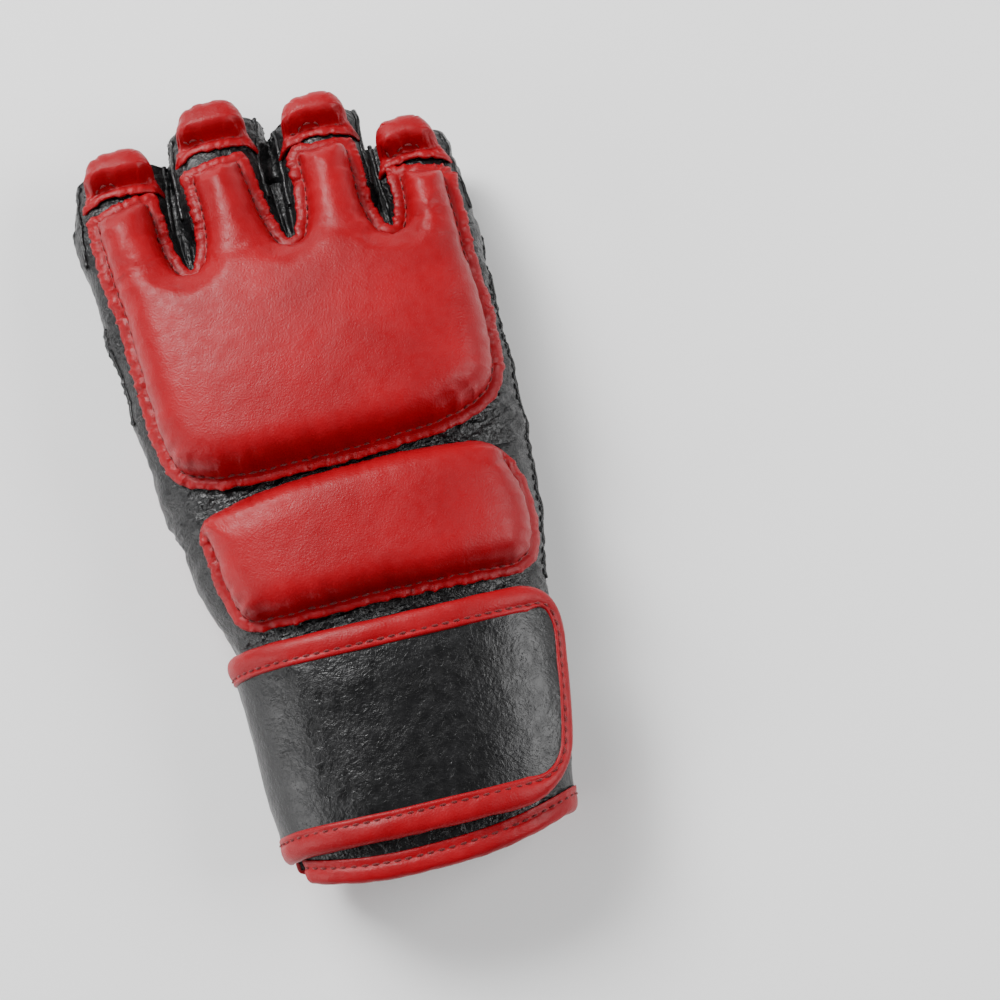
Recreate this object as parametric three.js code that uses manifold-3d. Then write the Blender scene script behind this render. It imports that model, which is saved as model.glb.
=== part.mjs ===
// Open-finger mixed martial arts glove for the right hand, lying palm down.
// Millimetres. +Y runs along the fingers, +Z is the back of the hand, -X is the thumb side.
// The finished glove's origin is on the resting surface, under the middle of its bounding box.
// Dimensions are measured from a point ORIGIN away from there.

import * as THREE from 'three';
import { mergeVertices } from 'three/addons/utils/BufferGeometryUtils.js';
import Module from 'manifold-3d';

const wasm = await Module();
wasm.setup();

// ---- driving dimensions -------------------------------------------------------------------

const ORIGIN = { x: 1.5, y: -4.64 };
const GAP = 0.35; // clearance between pieces that touch on the real glove
const LEATHER = 1.8; // shell leather with its backing
const LINING = 1.0;
const PAD_LIFT = 1.2; // seam allowances and glue under the pads
const SLEEVE_LIFT = 2.4; // the same over the finger sleeves, which curve more
const BINDING = 3.4; // thickness of a folded edge binding
const SECTION_POWER = 2.5; // how square the glove's cross-section is

// Cross-sections of the hand and cuff, from the hem to the finger tips:
// y, thumb-side x, little-finger-side x, side seam height, rise of the back, drop of the palm
const SECTIONS = [
  [-124, -43, 39, 22, 21, 23.5],
  [-90, -44.6, 46, 22, 22, 23.5],
  [-46, -46.4, 50.5, 22.5, 22.5, 23.5],
  [-20, -53, 55.5, 22.5, 22, 21],
  [4, -57, 58.5, 22.5, 21, 19.5],
  [40, -60.5, 59, 22.5, 19.5, 16.5],
  [76, -63, 60, 21, 16, 14],
  [110, -63, 58, 16, 12, 11],
];

const WRIST = { y: -44, z: 22.5, flex: 40, backGap: 4 }; // wrist bending line
const PALM_SEAM_Y = -30; // seam between the palm and heel panels
const HEEL_START = 222; // the heel panel starts at the thumb opening
const ROOT_Y = 76; // finger sleeves start here

const FINGERS = [
  { name: 'index', x: -47, drift: 0.06, fold: 102.5, z: 18.5, width: 27, height: 25, reach: 16 },
  { name: 'middle', x: -15, drift: 0.06, fold: 109.5, z: 19, width: 27, height: 26, reach: 17 },
  { name: 'ring', x: 18, drift: 0.03, fold: 105.5, z: 18.8, width: 26, height: 25, reach: 15.5 },
  { name: 'little', x: 46, drift: -0.08, fold: 90, z: 21, width: 24, height: 23, reach: 16 },
];
const ROOT_SLOPE = 10; // degrees below level, up to the fold
const TIP_SLOPE = 22; // degrees below level, past the fold
const FINGER_FLEX = 40; // degrees of fold at each finger
const FINGER_POWER = 2.6;
const SLEEVE = 1.6; // finger leather

const KNUCKLE_PAD = { bottom: 4.5, side: 3.8, thickness: 15, lobeThickness: 11, skin: 1.5 };
const LOBE_THINNING = [62, 100]; // the pad thins towards its lobes between these y
// x, y of the knuckle pad's finger-side edge, and the slots between its lobes
const PAD_FRONT = [
  [-60, 99], [-36, 106], [-27, 110.6], [-5, 112], [7, 108.2], [29, 108], [32.5, 92.5], [57, 88],
];
const SLOTS = [
  { name: 'index_middle', x: -30.5, width: 9, bottom: 76.5 },
  { name: 'middle_ring', x: 2, width: 8.5, bottom: 78 },
  { name: 'ring_little', x: 33, width: 8, bottom: 73.5 },
];
const WRIST_PAD = { left: -45.6, right: 52.4, low: -42.2, high: 2.6, thickness: 12, skin: 1.5 };
const FINGER_PAD = { thickness: 7.5, skin: 1.3, spread: 62 };
const WEB_MARGIN = { back: 3, palm: 8 }; // from the webs between fingers to the back and palm

// Palm opening, along the middle of its binding, and the thumb opening's palm-side edge
const PALM_OPENING = [
  [-40.5, 54], [-37.5, 60.5], [-30, 63.5], [-6, 63], [13, 59], [28.5, 51.5], [37.5, 42], [40.5, 31],
  [40.5, 17], [37, 4], [29.5, -7.5], [19, -17.5], [8, -23], [-1, -23.5], [-8.5, -18.5], [-14, -9],
  [-20, 4], [-24, 16], [-28, 28], [-34, 39],
];
const THUMB_EDGE = [[-47, 38], [-39, 31], [-34.5, 18], [-31.5, 2], [-31.5, -16], [-35, -28], [-43, -34.5]];
const THUMB_BACK = [-30, -15, 0, 15, 31];
const THUMB_BACK_ANGLE = 192;
const OPENING_BINDING = { width: 6, thickness: 3.2 };

const STRAP = { top: -45.8, bottom: -111, root: 179, end: 16, thickness: 3, binding: 8.5, edge: 3.8 };
const STRAP_FOLD_X = 6; // the strap bends here when its end is peeled off
const STRAP_ROUND = 18; // corner radius of the strap's end
const STRAP_SLANT = 0.12; // how much its end leans
const STRAP_END_INSET = 0.55; // width of the end's binding, as a share of the edge binding's
const ANGLE_PER_MM = 0.72; // along the strap near its end
const STRAP_SEAM = { width: 4, thickness: 1.6 };
const PATCH = { top: -58, bottom: -100, thumbEnd: 72, fingerEnd: 26, thickness: 1 };
const CUFF_BACK = { free: 158, hem: 8, end: -121.6, sideRise: 7 }; // free edge angle, hem size
const CUFF_PALM = { hem: 8, end: -111.5 };

const RED = new THREE.MeshStandardMaterial({ color: '#be1e2b', roughness: 0.45, metalness: 0 });
const BLACK = new THREE.MeshStandardMaterial({ color: '#232326', roughness: 0.4, metalness: 0 });
const FOAM = new THREE.MeshStandardMaterial({ color: '#c9c4ba', roughness: 0.95, metalness: 0 });
const FABRIC = new THREE.MeshStandardMaterial({ color: '#262021', roughness: 0.9, metalness: 0 });

// ---- small maths --------------------------------------------------------------------------

const rad = THREE.MathUtils.degToRad;
const lerp = THREE.MathUtils.lerp;

// Signed power, for superellipse arcs.
const signedPower = (value, power) => Math.sign(value) * Math.abs(value) ** power;

// Smooth curve through one column of a table whose rows are sorted by their first entry.
function smoothColumn(rows, column, at) {
  const last = rows.length - 1;
  let i = 0;
  while (i < last - 1 && at > rows[i + 1][0]) i += 1;
  const slope = (k) => {
    const a = rows[Math.max(k - 1, 0)];
    const b = rows[Math.min(k + 1, last)];
    return (b[column] - a[column]) / (b[0] - a[0]);
  };
  const span = rows[i + 1][0] - rows[i][0];
  const t = THREE.MathUtils.clamp((at - rows[i][0]) / span, 0, 1);
  const [p, q] = [rows[i][column], rows[i + 1][column]];
  const [m, n] = [slope(i) * span, slope(i + 1) * span];
  return p + t * m + t * t * (3 * (q - p) - 2 * m - n) + t * t * t * (2 * (p - q) + m + n);
}

// Straight-line interpolation through [x, y] points.
function polyline(points, x) {
  let i = 0;
  while (i < points.length - 2 && x > points[i + 1][0]) i += 1;
  const [a, b] = [points[i], points[i + 1]];
  return lerp(a[1], b[1], THREE.MathUtils.clamp((x - a[0]) / (b[0] - a[0]), 0, 1));
}

// ---- the glove's surface ------------------------------------------------------------------

function sectionAt(y) {
  const [left, right, seam, back, palm] = [1, 2, 3, 4, 5].map((c) => smoothColumn(SECTIONS, c, y));
  return { middle: (left + right) / 2, half: (right - left) / 2, seam, back, palm };
}

// Point on the hand or cuff: angle 0 is the little-finger side, 90 the back, 180 the thumb side,
// 270 the palm. offset is measured outwards. The palm side is flat where it rests.
function surface(angle, y, offset) {
  const s = sectionAt(y);
  const power = 2 / SECTION_POWER;
  const [c, n] = [Math.cos(rad(angle)), Math.sin(rad(angle))];
  const rise = n >= 0 ? s.back : s.palm;
  const x = s.middle + (s.half + offset) * signedPower(c, power);
  const z = s.seam + (rise + offset) * signedPower(n, power);
  return new THREE.Vector3(x, y, Math.max(z, -offset));
}

function backHeight(x, y) {
  const s = sectionAt(y);
  const across = Math.min(Math.abs((x - s.middle) / s.half), 0.995);
  return s.seam + s.back * (1 - across ** SECTION_POWER) ** (1 / SECTION_POWER);
}

function palmHeight(x, y) {
  const s = sectionAt(y);
  const across = Math.min(Math.abs((x - s.middle) / s.half), 0.995);
  return Math.max(s.seam - s.palm * (1 - across ** SECTION_POWER) ** (1 / SECTION_POWER), 0);
}

// ---- closed bodies ------------------------------------------------------------------------

// A closed triangle mesh whose faces point out.
function closedBody(points, triangles) {
  const [a, b, c] = [new THREE.Vector3(), new THREE.Vector3(), new THREE.Vector3()];
  let volume = 0;
  for (const [i, j, k] of triangles) {
    volume += a.copy(points[i]).dot(b.copy(points[j]).cross(c.copy(points[k])));
  }
  const faces = volume < 0 ? triangles.map(([i, j, k]) => [i, k, j]) : triangles;
  const geometry = new THREE.BufferGeometry();
  const numbers = points.flatMap((p) => [p.x, p.y, p.z]);
  geometry.setAttribute('position', new THREE.Float32BufferAttribute(numbers, 3));
  geometry.setIndex(faces.flat());
  geometry.computeVertexNormals();
  return geometry;
}

const quad = (a, b, c, d) => [[a, b, c], [a, c, d]];

// A curved sheet with thickness: place(u, v, side) gives its points, side 1 outside, 0 inside.
function sheet(place, nu, nv) {
  const points = [];
  for (const side of [1, 0]) {
    for (let j = 0; j <= nv; j += 1) {
      for (let i = 0; i <= nu; i += 1) points.push(place(i / nu, j / nv, side));
    }
  }
  const layer = (nu + 1) * (nv + 1);
  const at = (i, j, side) => (side ? 0 : layer) + j * (nu + 1) + i;
  const triangles = [];
  for (let j = 0; j < nv; j += 1) {
    for (let i = 0; i < nu; i += 1) {
      triangles.push(...quad(at(i, j, 1), at(i + 1, j, 1), at(i + 1, j + 1, 1), at(i, j + 1, 1)));
      triangles.push(...quad(at(i, j, 0), at(i, j + 1, 0), at(i + 1, j + 1, 0), at(i + 1, j, 0)));
    }
  }
  for (let i = 0; i < nu; i += 1) {
    triangles.push(...quad(at(i, 0, 0), at(i + 1, 0, 0), at(i + 1, 0, 1), at(i, 0, 1)));
    triangles.push(...quad(at(i, nv, 1), at(i + 1, nv, 1), at(i + 1, nv, 0), at(i, nv, 0)));
  }
  for (let j = 0; j < nv; j += 1) {
    triangles.push(...quad(at(0, j, 1), at(0, j + 1, 1), at(0, j + 1, 0), at(0, j, 0)));
    triangles.push(...quad(at(nu, j, 0), at(nu, j + 1, 0), at(nu, j + 1, 1), at(nu, j, 1)));
  }
  return closedBody(points, triangles);
}

// A tube wall: place(angle, v, side) runs right round, side 1 outside, 0 inside.
function sleeve(place, around, nv) {
  const points = [];
  for (const side of [1, 0]) {
    for (let j = 0; j <= nv; j += 1) {
      for (let i = 0; i < around; i += 1) points.push(place((i * 360) / around, j / nv, side));
    }
  }
  const layer = around * (nv + 1);
  const at = (i, j, side) => (side ? 0 : layer) + j * around + (i % around);
  const triangles = [];
  for (let i = 0; i < around; i += 1) {
    for (let j = 0; j < nv; j += 1) {
      triangles.push(...quad(at(i, j, 1), at(i + 1, j, 1), at(i + 1, j + 1, 1), at(i, j + 1, 1)));
      triangles.push(...quad(at(i, j, 0), at(i, j + 1, 0), at(i + 1, j + 1, 0), at(i + 1, j, 0)));
    }
    triangles.push(...quad(at(i, 0, 0), at(i + 1, 0, 0), at(i + 1, 0, 1), at(i, 0, 1)));
    triangles.push(...quad(at(i, nv, 1), at(i + 1, nv, 1), at(i + 1, nv, 0), at(i, nv, 0)));
  }
  return closedBody(points, triangles);
}

// A bar of rectangular section along points, facing outwards along out(point).
function bar(path, out, width, low, high, closed) {
  const count = path.length;
  const corners = [[-width / 2, low], [width / 2, low], [width / 2, high], [-width / 2, high]];
  const points = [];
  path.forEach((p, i) => {
    const before = path[closed ? (i + count - 1) % count : Math.max(i - 1, 0)];
    const after = path[closed ? (i + 1) % count : Math.min(i + 1, count - 1)];
    const normal = out(p).normalize();
    const across = new THREE.Vector3().subVectors(after, before).cross(normal).normalize();
    corners.forEach(([a, b]) => {
      points.push(p.clone().addScaledVector(across, a).addScaledVector(normal, b));
    });
  });
  const triangles = [];
  const last = closed ? count : count - 1;
  for (let i = 0; i < last; i += 1) {
    const next = ((i + 1) % count) * 4;
    for (let k = 0; k < 4; k += 1) {
      const m = (k + 1) % 4;
      triangles.push(...quad(i * 4 + k, i * 4 + m, next + m, next + k));
    }
  }
  if (!closed) {
    const end = (count - 1) * 4;
    triangles.push([0, 2, 1], [0, 3, 2], [end, end + 1, end + 2], [end, end + 2, end + 3]);
  }
  return closedBody(points, triangles);
}

// ---- cutting ------------------------------------------------------------------------------

function toSolid(geometry) {
  const bare = geometry.clone();
  bare.deleteAttribute('normal');
  bare.deleteAttribute('uv');
  const merged = mergeVertices(bare, 1e-4);
  const mesh = new wasm.Mesh({
    numProp: 3,
    vertProperties: new Float32Array(merged.attributes.position.array),
    triVerts: new Uint32Array(merged.index.array),
  });
  return new wasm.Manifold(mesh);
}

function toGeometry(solid) {
  const mesh = solid.getMesh();
  const geometry = new THREE.BufferGeometry();
  const numbers = new Float32Array(mesh.vertProperties);
  geometry.setAttribute('position', new THREE.BufferAttribute(numbers, 3));
  geometry.setIndex(new THREE.BufferAttribute(new Uint32Array(mesh.triVerts), 1));
  geometry.computeVertexNormals();
  return geometry;
}

function cutAway(geometry, ...tools) {
  return toGeometry(tools.reduce((solid, tool) => solid.subtract(toSolid(tool)), toSolid(geometry)));
}

// An upright prism over an outline, from z low to z high.
function prism(outline, low, high) {
  const shape = new THREE.Shape(outline.map(([x, y]) => new THREE.Vector2(x, y)));
  const geometry = new THREE.ExtrudeGeometry(shape, { depth: high - low, bevelEnabled: false });
  return geometry.translate(0, 0, low);
}

// A slot with a round bottom, open towards the finger tips.
function slotPrism(slot, grow) {
  const radius = slot.width / 2 + grow;
  const centre = slot.bottom + slot.width / 2;
  const outline = [[slot.x + radius, 130], [slot.x - radius, 130]];
  for (let k = 0; k <= 6; k += 1) {
    const angle = Math.PI + (k * Math.PI) / 6;
    outline.push([slot.x + radius * Math.cos(angle), centre + radius * Math.sin(angle)]);
  }
  return prism(outline, -10, 90);
}

// ---- finger sleeves -----------------------------------------------------------------------

// Point on a finger sleeve: rise is measured square to the sleeve from its middle, along from the
// fold towards the tip, on the stretch that slopes down by slope degrees.
function fingerPoint(finger, slope, across, rise, along) {
  const [c, s] = [Math.cos(rad(slope)), Math.sin(rad(slope))];
  const y = finger.fold + rise * s + along * c;
  const z = finger.z + rise * c - along * s;
  return new THREE.Vector3(finger.x + finger.drift * (y - finger.fold) + across, y, z);
}

function fingerRing(finger, angle, inset) {
  const power = 2 / FINGER_POWER;
  const across = (finger.width / 2 - inset) * signedPower(Math.cos(rad(angle)), power);
  const rise = (finger.height / 2 - inset) * signedPower(Math.sin(rad(angle)), power);
  return { across, rise };
}

// Where the sleeve is cut at the fold: the palm side is cut back so that the finger can fold.
function foldCut(slope, rise, side) {
  const middle = (ROOT_SLOPE + TIP_SLOPE) / 2;
  const open = rise < 0 ? (side * FINGER_FLEX) / 2 : 0;
  return rise * Math.tan(rad(middle + open - slope)) - side * GAP;
}

function rootSleeve(finger) {
  return sleeve((angle, v, side) => {
    const { across, rise } = fingerRing(finger, angle, side ? 0 : SLEEVE);
    const room = ROOT_Y + GAP - finger.fold - rise * Math.sin(rad(ROOT_SLOPE));
    const start = room / Math.cos(rad(ROOT_SLOPE));
    const along = lerp(start, foldCut(ROOT_SLOPE, rise, 1), v);
    return fingerPoint(finger, ROOT_SLOPE, across, rise, along);
  }, 12, 2);
}

function tipSleeve(finger) {
  return sleeve((angle, v, side) => {
    const { across, rise } = fingerRing(finger, angle, side ? 0 : SLEEVE);
    const along = lerp(foldCut(TIP_SLOPE, rise, -1), finger.reach, v);
    return fingerPoint(finger, TIP_SLOPE, across, rise, along);
  }, 12, 2);
}

// Soft leather on the palm side of a fold, which crumples as the finger folds.
function foldGusset(finger) {
  return sheet((u, v, side) => {
    const { across, rise } = fingerRing(finger, lerp(200, 340, u), side ? 0 : SLEEVE);
    const from = fingerPoint(finger, ROOT_SLOPE, across, rise, foldCut(ROOT_SLOPE, rise, 1) + GAP);
    const to = fingerPoint(finger, TIP_SLOPE, across, rise, foldCut(TIP_SLOPE, rise, -1) - GAP);
    return from.lerp(to, v);
  }, 8, 2);
}

// Padded piece on the back of a finger tip; low and high are its depths as shares of the dome.
function fingerPad(finger, margin, top, base) {
  return sheet((u, v, side) => {
    const [p, q] = [lerp(margin, 1 - margin, u), lerp(margin, 1 - margin, v)];
    const dome = Math.sqrt((1 - (2 * p - 1) ** 4) * (1 - (2 * q - 1) ** 4));
    const height = side ? top(dome) : base(dome);
    const ring = fingerRing(finger, 90 + FINGER_PAD.spread * (1 - 2 * p), 0);
    const rise = ring.rise + height;
    const along = lerp(foldCut(TIP_SLOPE, rise, -1) + GAP, finger.reach, q);
    return fingerPoint(finger, TIP_SLOPE, ring.across, rise, along);
  }, 8, 5);
}

const fingerPadTop = (dome) => lerp(FINGER_PAD.skin + 2 * GAP, FINGER_PAD.thickness, dome);

function fingerPadCover(finger) {
  return fingerPad(finger, 0, fingerPadTop, (dome) => fingerPadTop(dome) - FINGER_PAD.skin);
}

function fingerPadFoam(finger) {
  return fingerPad(finger, 0.2, (dome) => fingerPadTop(dome) - FINGER_PAD.skin - 1.5 * GAP, () => GAP);
}

// Height of a root sleeve's back at x, y, or nothing beside the sleeve.
function sleeveTop(finger, x, y) {
  const across = (x - finger.x - finger.drift * (y - finger.fold)) / (finger.width / 2);
  if (Math.abs(across) > 0.98) return -Infinity;
  const rise = (finger.height / 2) * (1 - Math.abs(across) ** FINGER_POWER) ** (1 / FINGER_POWER);
  const [c, s] = [Math.cos(rad(ROOT_SLOPE)), Math.sin(rad(ROOT_SLOPE))];
  const along = (y - finger.fold - rise * s) / c;
  return finger.z + rise * c - along * s;
}

// What the pads lie on: the back of the hand, then the backs of the finger sleeves.
function padBase(x, y) {
  const slope = backHeight(x + 0.5, y) - backHeight(x - 0.5, y);
  const hand = backHeight(x, y) + PAD_LIFT * Math.min(Math.hypot(1, slope), 3);
  if (y < ROOT_Y - 8) return hand;
  return Math.max(hand, ...FINGERS.map((finger) => sleeveTop(finger, x, y) + SLEEVE_LIFT));
}

// ---- pads on the back of the hand ---------------------------------------------------------

// A domed pad between the glove's back and a crown, over a region given by plan(u, v).
function backPad(plan, crown, base, nu, nv) {
  return sheet((u, v, side) => {
    const [x, y] = plan(u, v);
    const dome = Math.sqrt((1 - (2 * u - 1) ** 4) * (1 - (2 * v - 1) ** 4));
    return new THREE.Vector3(x, y, padBase(x, y) + (side ? crown(dome, y) : base));
  }, nu, nv);
}

function knucklePlan(inset) {
  return (u, v) => {
    const corner = 1 - 0.1 * (2 * u - 1) ** 2 * Math.max(1 - 2.2 * v, 0);
    const s = sectionAt(lerp(KNUCKLE_PAD.bottom, 84, v));
    const x = s.middle + lerp(-1, 1, u) * (s.half - KNUCKLE_PAD.side - inset) * corner;
    const sag = 6 * (2 * u - 1) ** 4;
    const y = lerp(KNUCKLE_PAD.bottom + sag + inset, polyline(PAD_FRONT, x) - inset, v);
    return [x, y];
  };
}

const knuckleCrown = (drop) => (dome, y) => {
  const towardsTips = THREE.MathUtils.smoothstep(y, LOBE_THINNING[0], LOBE_THINNING[1]);
  const full = lerp(KNUCKLE_PAD.thickness, KNUCKLE_PAD.lobeThickness, towardsTips);
  return lerp(KNUCKLE_PAD.skin + GAP, full, dome) - drop;
};

function knucklePadCover() {
  const { skin } = KNUCKLE_PAD;
  const solid = cutAway(
    backPad(knucklePlan(0), knuckleCrown(0), 0, 14, 10),
    ...SLOTS.map((slot) => slotPrism(slot, 0)),
  );
  const cavity = cutAway(
    backPad(knucklePlan(skin), knuckleCrown(skin), -2, 14, 10),
    ...SLOTS.map((slot) => slotPrism(slot, skin)),
  );
  return cutAway(solid, cavity);
}

function knucklePadFoam() {
  const inset = KNUCKLE_PAD.skin + GAP;
  return cutAway(
    backPad(knucklePlan(inset), knuckleCrown(inset), 0, 14, 10),
    ...SLOTS.map((slot) => slotPrism(slot, inset)),
  );
}

function wristPlan(inset) {
  return (u, v) => {
    const [p, q] = [2 * u - 1, 2 * v - 1];
    const half = (WRIST_PAD.right - WRIST_PAD.left) / 2 - inset;
    const tall = (WRIST_PAD.high - WRIST_PAD.low) / 2 - inset;
    const x = (WRIST_PAD.right + WRIST_PAD.left) / 2 + half * p * Math.sqrt(1 - 0.12 * q * q);
    const y = (WRIST_PAD.high + WRIST_PAD.low) / 2 + tall * q * Math.sqrt(1 - 0.16 * p * p);
    return [x, y];
  };
}

const wristCrown = (drop) => (dome) => lerp(WRIST_PAD.skin + GAP, WRIST_PAD.thickness, dome) - drop;

function wristPadCover() {
  const solid = backPad(wristPlan(0), wristCrown(0), 0, 12, 6);
  return cutAway(solid, backPad(wristPlan(WRIST_PAD.skin), wristCrown(WRIST_PAD.skin), -2, 12, 6));
}

function wristPadFoam() {
  const inset = WRIST_PAD.skin + GAP;
  return backPad(wristPlan(inset), wristCrown(inset), 0, 12, 6);
}

// ---- shell of the hand --------------------------------------------------------------------

// How far the hand and cuff panels stand back from the wrist line on the palm side, to let it bend.
function wristSetBack(angle, y) {
  const drop = Math.max(WRIST.z - surface(angle, y, 0).z, 0);
  return WRIST.backGap / 2 + drop * Math.tan(rad(WRIST.flex / 2));
}

function panel(from, to, start, end, thickness, nu, nv) {
  return sheet((u, v, side) => {
    const angle = lerp(from, to, u);
    return surface(angle, lerp(start(angle), end(angle), v), side ? 0 : -thickness);
  }, nu, nv);
}

const handEnd = (angle) => WRIST.y + wristSetBack(angle, WRIST.y);
const cuffStart = (angle) => WRIST.y - wristSetBack(angle, WRIST.y);

function thumbLoop() {
  const edge = THUMB_EDGE.map(([x, y]) => new THREE.Vector3(x, y, palmHeight(x, y)));
  const back = THUMB_BACK.map((y) => surface(THUMB_BACK_ANGLE, y, -0.5));
  const loop = new THREE.CatmullRomCurve3([...edge, ...back], true, 'centripetal');
  return loop.getSpacedPoints(36).slice(0, 36);
}

const thumbOut = () => new THREE.Vector3(-0.7, 0, -0.7);

function thumbBinding(grow) {
  const { width, thickness } = OPENING_BINDING;
  return bar(thumbLoop(), thumbOut, width + 2 * grow, -thickness + 0.6 - grow, 0.6 + grow, true);
}

// Everything that the thumb opening takes out of the shell, inside the middle of its binding.
function thumbHole() {
  const loop = thumbLoop();
  const centre = loop.reduce((sum, p) => sum.add(p), new THREE.Vector3()).divideScalar(loop.length);
  const out = thumbOut().normalize();
  const points = [];
  for (const depth of [-12, 30]) loop.forEach((p) => points.push(p.clone().addScaledVector(out, depth)));
  points.push(centre.clone().addScaledVector(out, -12), centre.clone().addScaledVector(out, 30));
  const n = loop.length;
  const triangles = [];
  for (let i = 0; i < n; i += 1) {
    const j = (i + 1) % n;
    triangles.push(...quad(i, j, n + j, n + i), [2 * n, j, i], [2 * n + 1, n + i, n + j]);
  }
  return closedBody(points, triangles);
}

function palmLoop() {
  const points = PALM_OPENING.map(([x, y]) => new THREE.Vector3(x, y, 0));
  const flat = new THREE.CatmullRomCurve3(points, true, 'centripetal').getSpacedPoints(48).slice(0, 48);
  return flat.map((p) => p.setZ(palmHeight(p.x, p.y)));
}

function palmBinding() {
  const { width, thickness } = OPENING_BINDING;
  return bar(palmLoop(), () => new THREE.Vector3(0, 0, -1), width, 0.8 - thickness, 0.8, true);
}

// The hole in the palm panel, to the outside of the binding.
function palmHole() {
  const loop = palmLoop();
  const reach = OPENING_BINDING.width / 2 + GAP;
  const outline = loop.map((p, i) => {
    const before = loop[(i + loop.length - 1) % loop.length];
    const after = loop[(i + 1) % loop.length];
    const along = new THREE.Vector2(after.x - before.x, after.y - before.y).normalize();
    return [p.x - along.y * reach, p.y + along.x * reach];
  });
  return prism(outline, -5, 20);
}

function backShell() {
  const shell = panel(0.5, 179.5, handEnd, () => ROOT_Y, LEATHER, 16, 9);
  return cutAway(shell, thumbBinding(GAP));
}

function handLining() {
  return sheet((u, v, side) => {
    const inset = LEATHER + GAP + (side ? 0 : LINING);
    return surface(lerp(14, 166, u), lerp(WRIST.y + 4, ROOT_Y - 2, v), -inset);
  }, 12, 6);
}

function palmPanel() {
  const whole = panel(180.5, 359.5, () => PALM_SEAM_Y + GAP, () => ROOT_Y, LEATHER, 16, 8);
  return cutAway(whole, palmHole(), thumbHole(), thumbBinding(GAP));
}

function heelPanel() {
  const whole = panel(HEEL_START, 359.5, handEnd, () => PALM_SEAM_Y, LEATHER, 14, 2);
  return cutAway(whole, thumbHole(), thumbBinding(GAP));
}

// Small U-shaped leather web at the bottom of a slot between two fingers.
function fourchette(slot) {
  const outer = slot.width / 2 - 0.6;
  const inner = outer - 1.4;
  const centre = ROOT_Y + 0.6 + outer;
  const outline = [];
  for (let k = 0; k <= 8; k += 1) {
    const angle = Math.PI + (k * Math.PI) / 8;
    outline.push([slot.x + outer * Math.cos(angle), centre + outer * Math.sin(angle)]);
  }
  for (let k = 8; k >= 0; k -= 1) {
    const angle = Math.PI + (k * Math.PI) / 8;
    outline.push([slot.x + inner * Math.cos(angle), centre + inner * Math.sin(angle)]);
  }
  const top = backHeight(slot.x, centre) - WEB_MARGIN.back;
  const low = palmHeight(slot.x, centre) + WEB_MARGIN.palm;
  return cutAway(prism(outline, low, top), ...FINGERS.map(sleeveSpace));
}

// The room that a finger's root sleeve takes, with clearance, for trimming the webs.
function sleeveSpace(finger) {
  return sleeve((angle, v, side) => {
    const { across, rise } = fingerRing(finger, angle, side ? -GAP : finger.height / 2 - 1);
    return fingerPoint(finger, ROOT_SLOPE, across, rise, lerp(-35, 5, v));
  }, 16, 1);
}

// Strips that stretch and crumple as the wrist bends.
function wristGusset(from, to) {
  return sheet((u, v, side) => {
    const angle = lerp(from, to, u);
    return surface(angle, lerp(cuffStart(angle) + GAP, handEnd(angle) - GAP, v), side ? 0 : -LEATHER);
  }, 12, 2);
}

// ---- cuff ---------------------------------------------------------------------------------

// The back panel's lower end rises towards both sides.
function backEnd(angle) {
  return CUFF_BACK.end + CUFF_BACK.sideRise * Math.cos(rad(angle)) ** 2;
}

function cuffBackPanel() {
  const end = (angle) => backEnd(angle) + CUFF_BACK.hem + GAP;
  return panel(0.5, CUFF_BACK.free, cuffStart, end, LEATHER, 14, 5);
}

function cuffPalmPanel() {
  return panel(181, 359.5, cuffStart, () => CUFF_PALM.end + CUFF_PALM.hem + GAP, LEATHER, 14, 4);
}

// A folded binding round a cuff edge, thicker than the panel on its inside.
function hemBinding(from, to, end, hem, outer) {
  return sheet((u, v, side) => {
    const angle = lerp(from, to, u);
    return surface(angle, end(angle) + v * hem, side ? outer : outer - BINDING);
  }, 16, 1);
}

const cuffBackHem = () => hemBinding(0.5, CUFF_BACK.free, backEnd, CUFF_BACK.hem, -0.2);
const cuffPalmHem = () => hemBinding(181, 359.5, () => CUFF_PALM.end, CUFF_PALM.hem, 0);

// A flat patch on the cuff's back, with its inner face at a given height above the panel.
function patch(height) {
  return sheet((u, v, side) => {
    const angle = lerp(PATCH.fingerEnd, PATCH.thumbEnd, u);
    return surface(angle, lerp(PATCH.bottom, PATCH.top, v), height + (side ? PATCH.thickness : 0));
  }, 8, 2);
}

const LOOP_HEIGHT = GAP;
const HOOK_HEIGHT = LOOP_HEIGHT + PATCH.thickness + GAP;
const STRAP_HEIGHT = HOOK_HEIGHT + PATCH.thickness + GAP;

// ---- strap --------------------------------------------------------------------------------

// The strap lies close to the cuff at the thumb side and rises over the patches.
function strapHeight(angle) {
  return lerp(STRAP_HEIGHT, GAP, THREE.MathUtils.smoothstep(angle, 90, 170));
}

function strapPoint(angle, y, above) {
  return surface(angle, y, strapHeight(angle) + above);
}

// The angle at which the strap crosses an x position on the back.
function strapAngleAt(x, y) {
  let [low, high] = [20, 160];
  for (let i = 0; i < 30; i += 1) {
    const middle = (low + high) / 2;
    if (strapPoint(middle, y, 0).x > x) low = middle;
    else high = middle;
  }
  return (low + high) / 2;
}

// The angle at which the strap ends at each y: its end is slanted, with round corners.
function strapTipEnd(y, inset) {
  const [top, bottom] = [STRAP.top - inset, STRAP.bottom + inset];
  const round = STRAP_ROUND - inset;
  const depth = Math.max(round - (top - y), round - (y - bottom), 0);
  const cut = round - Math.sqrt(Math.max(round * round - depth * depth, 0));
  const slant = STRAP_SLANT * (STRAP.top - y);
  return STRAP.end + (cut + slant + inset) * ANGLE_PER_MM;
}

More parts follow.
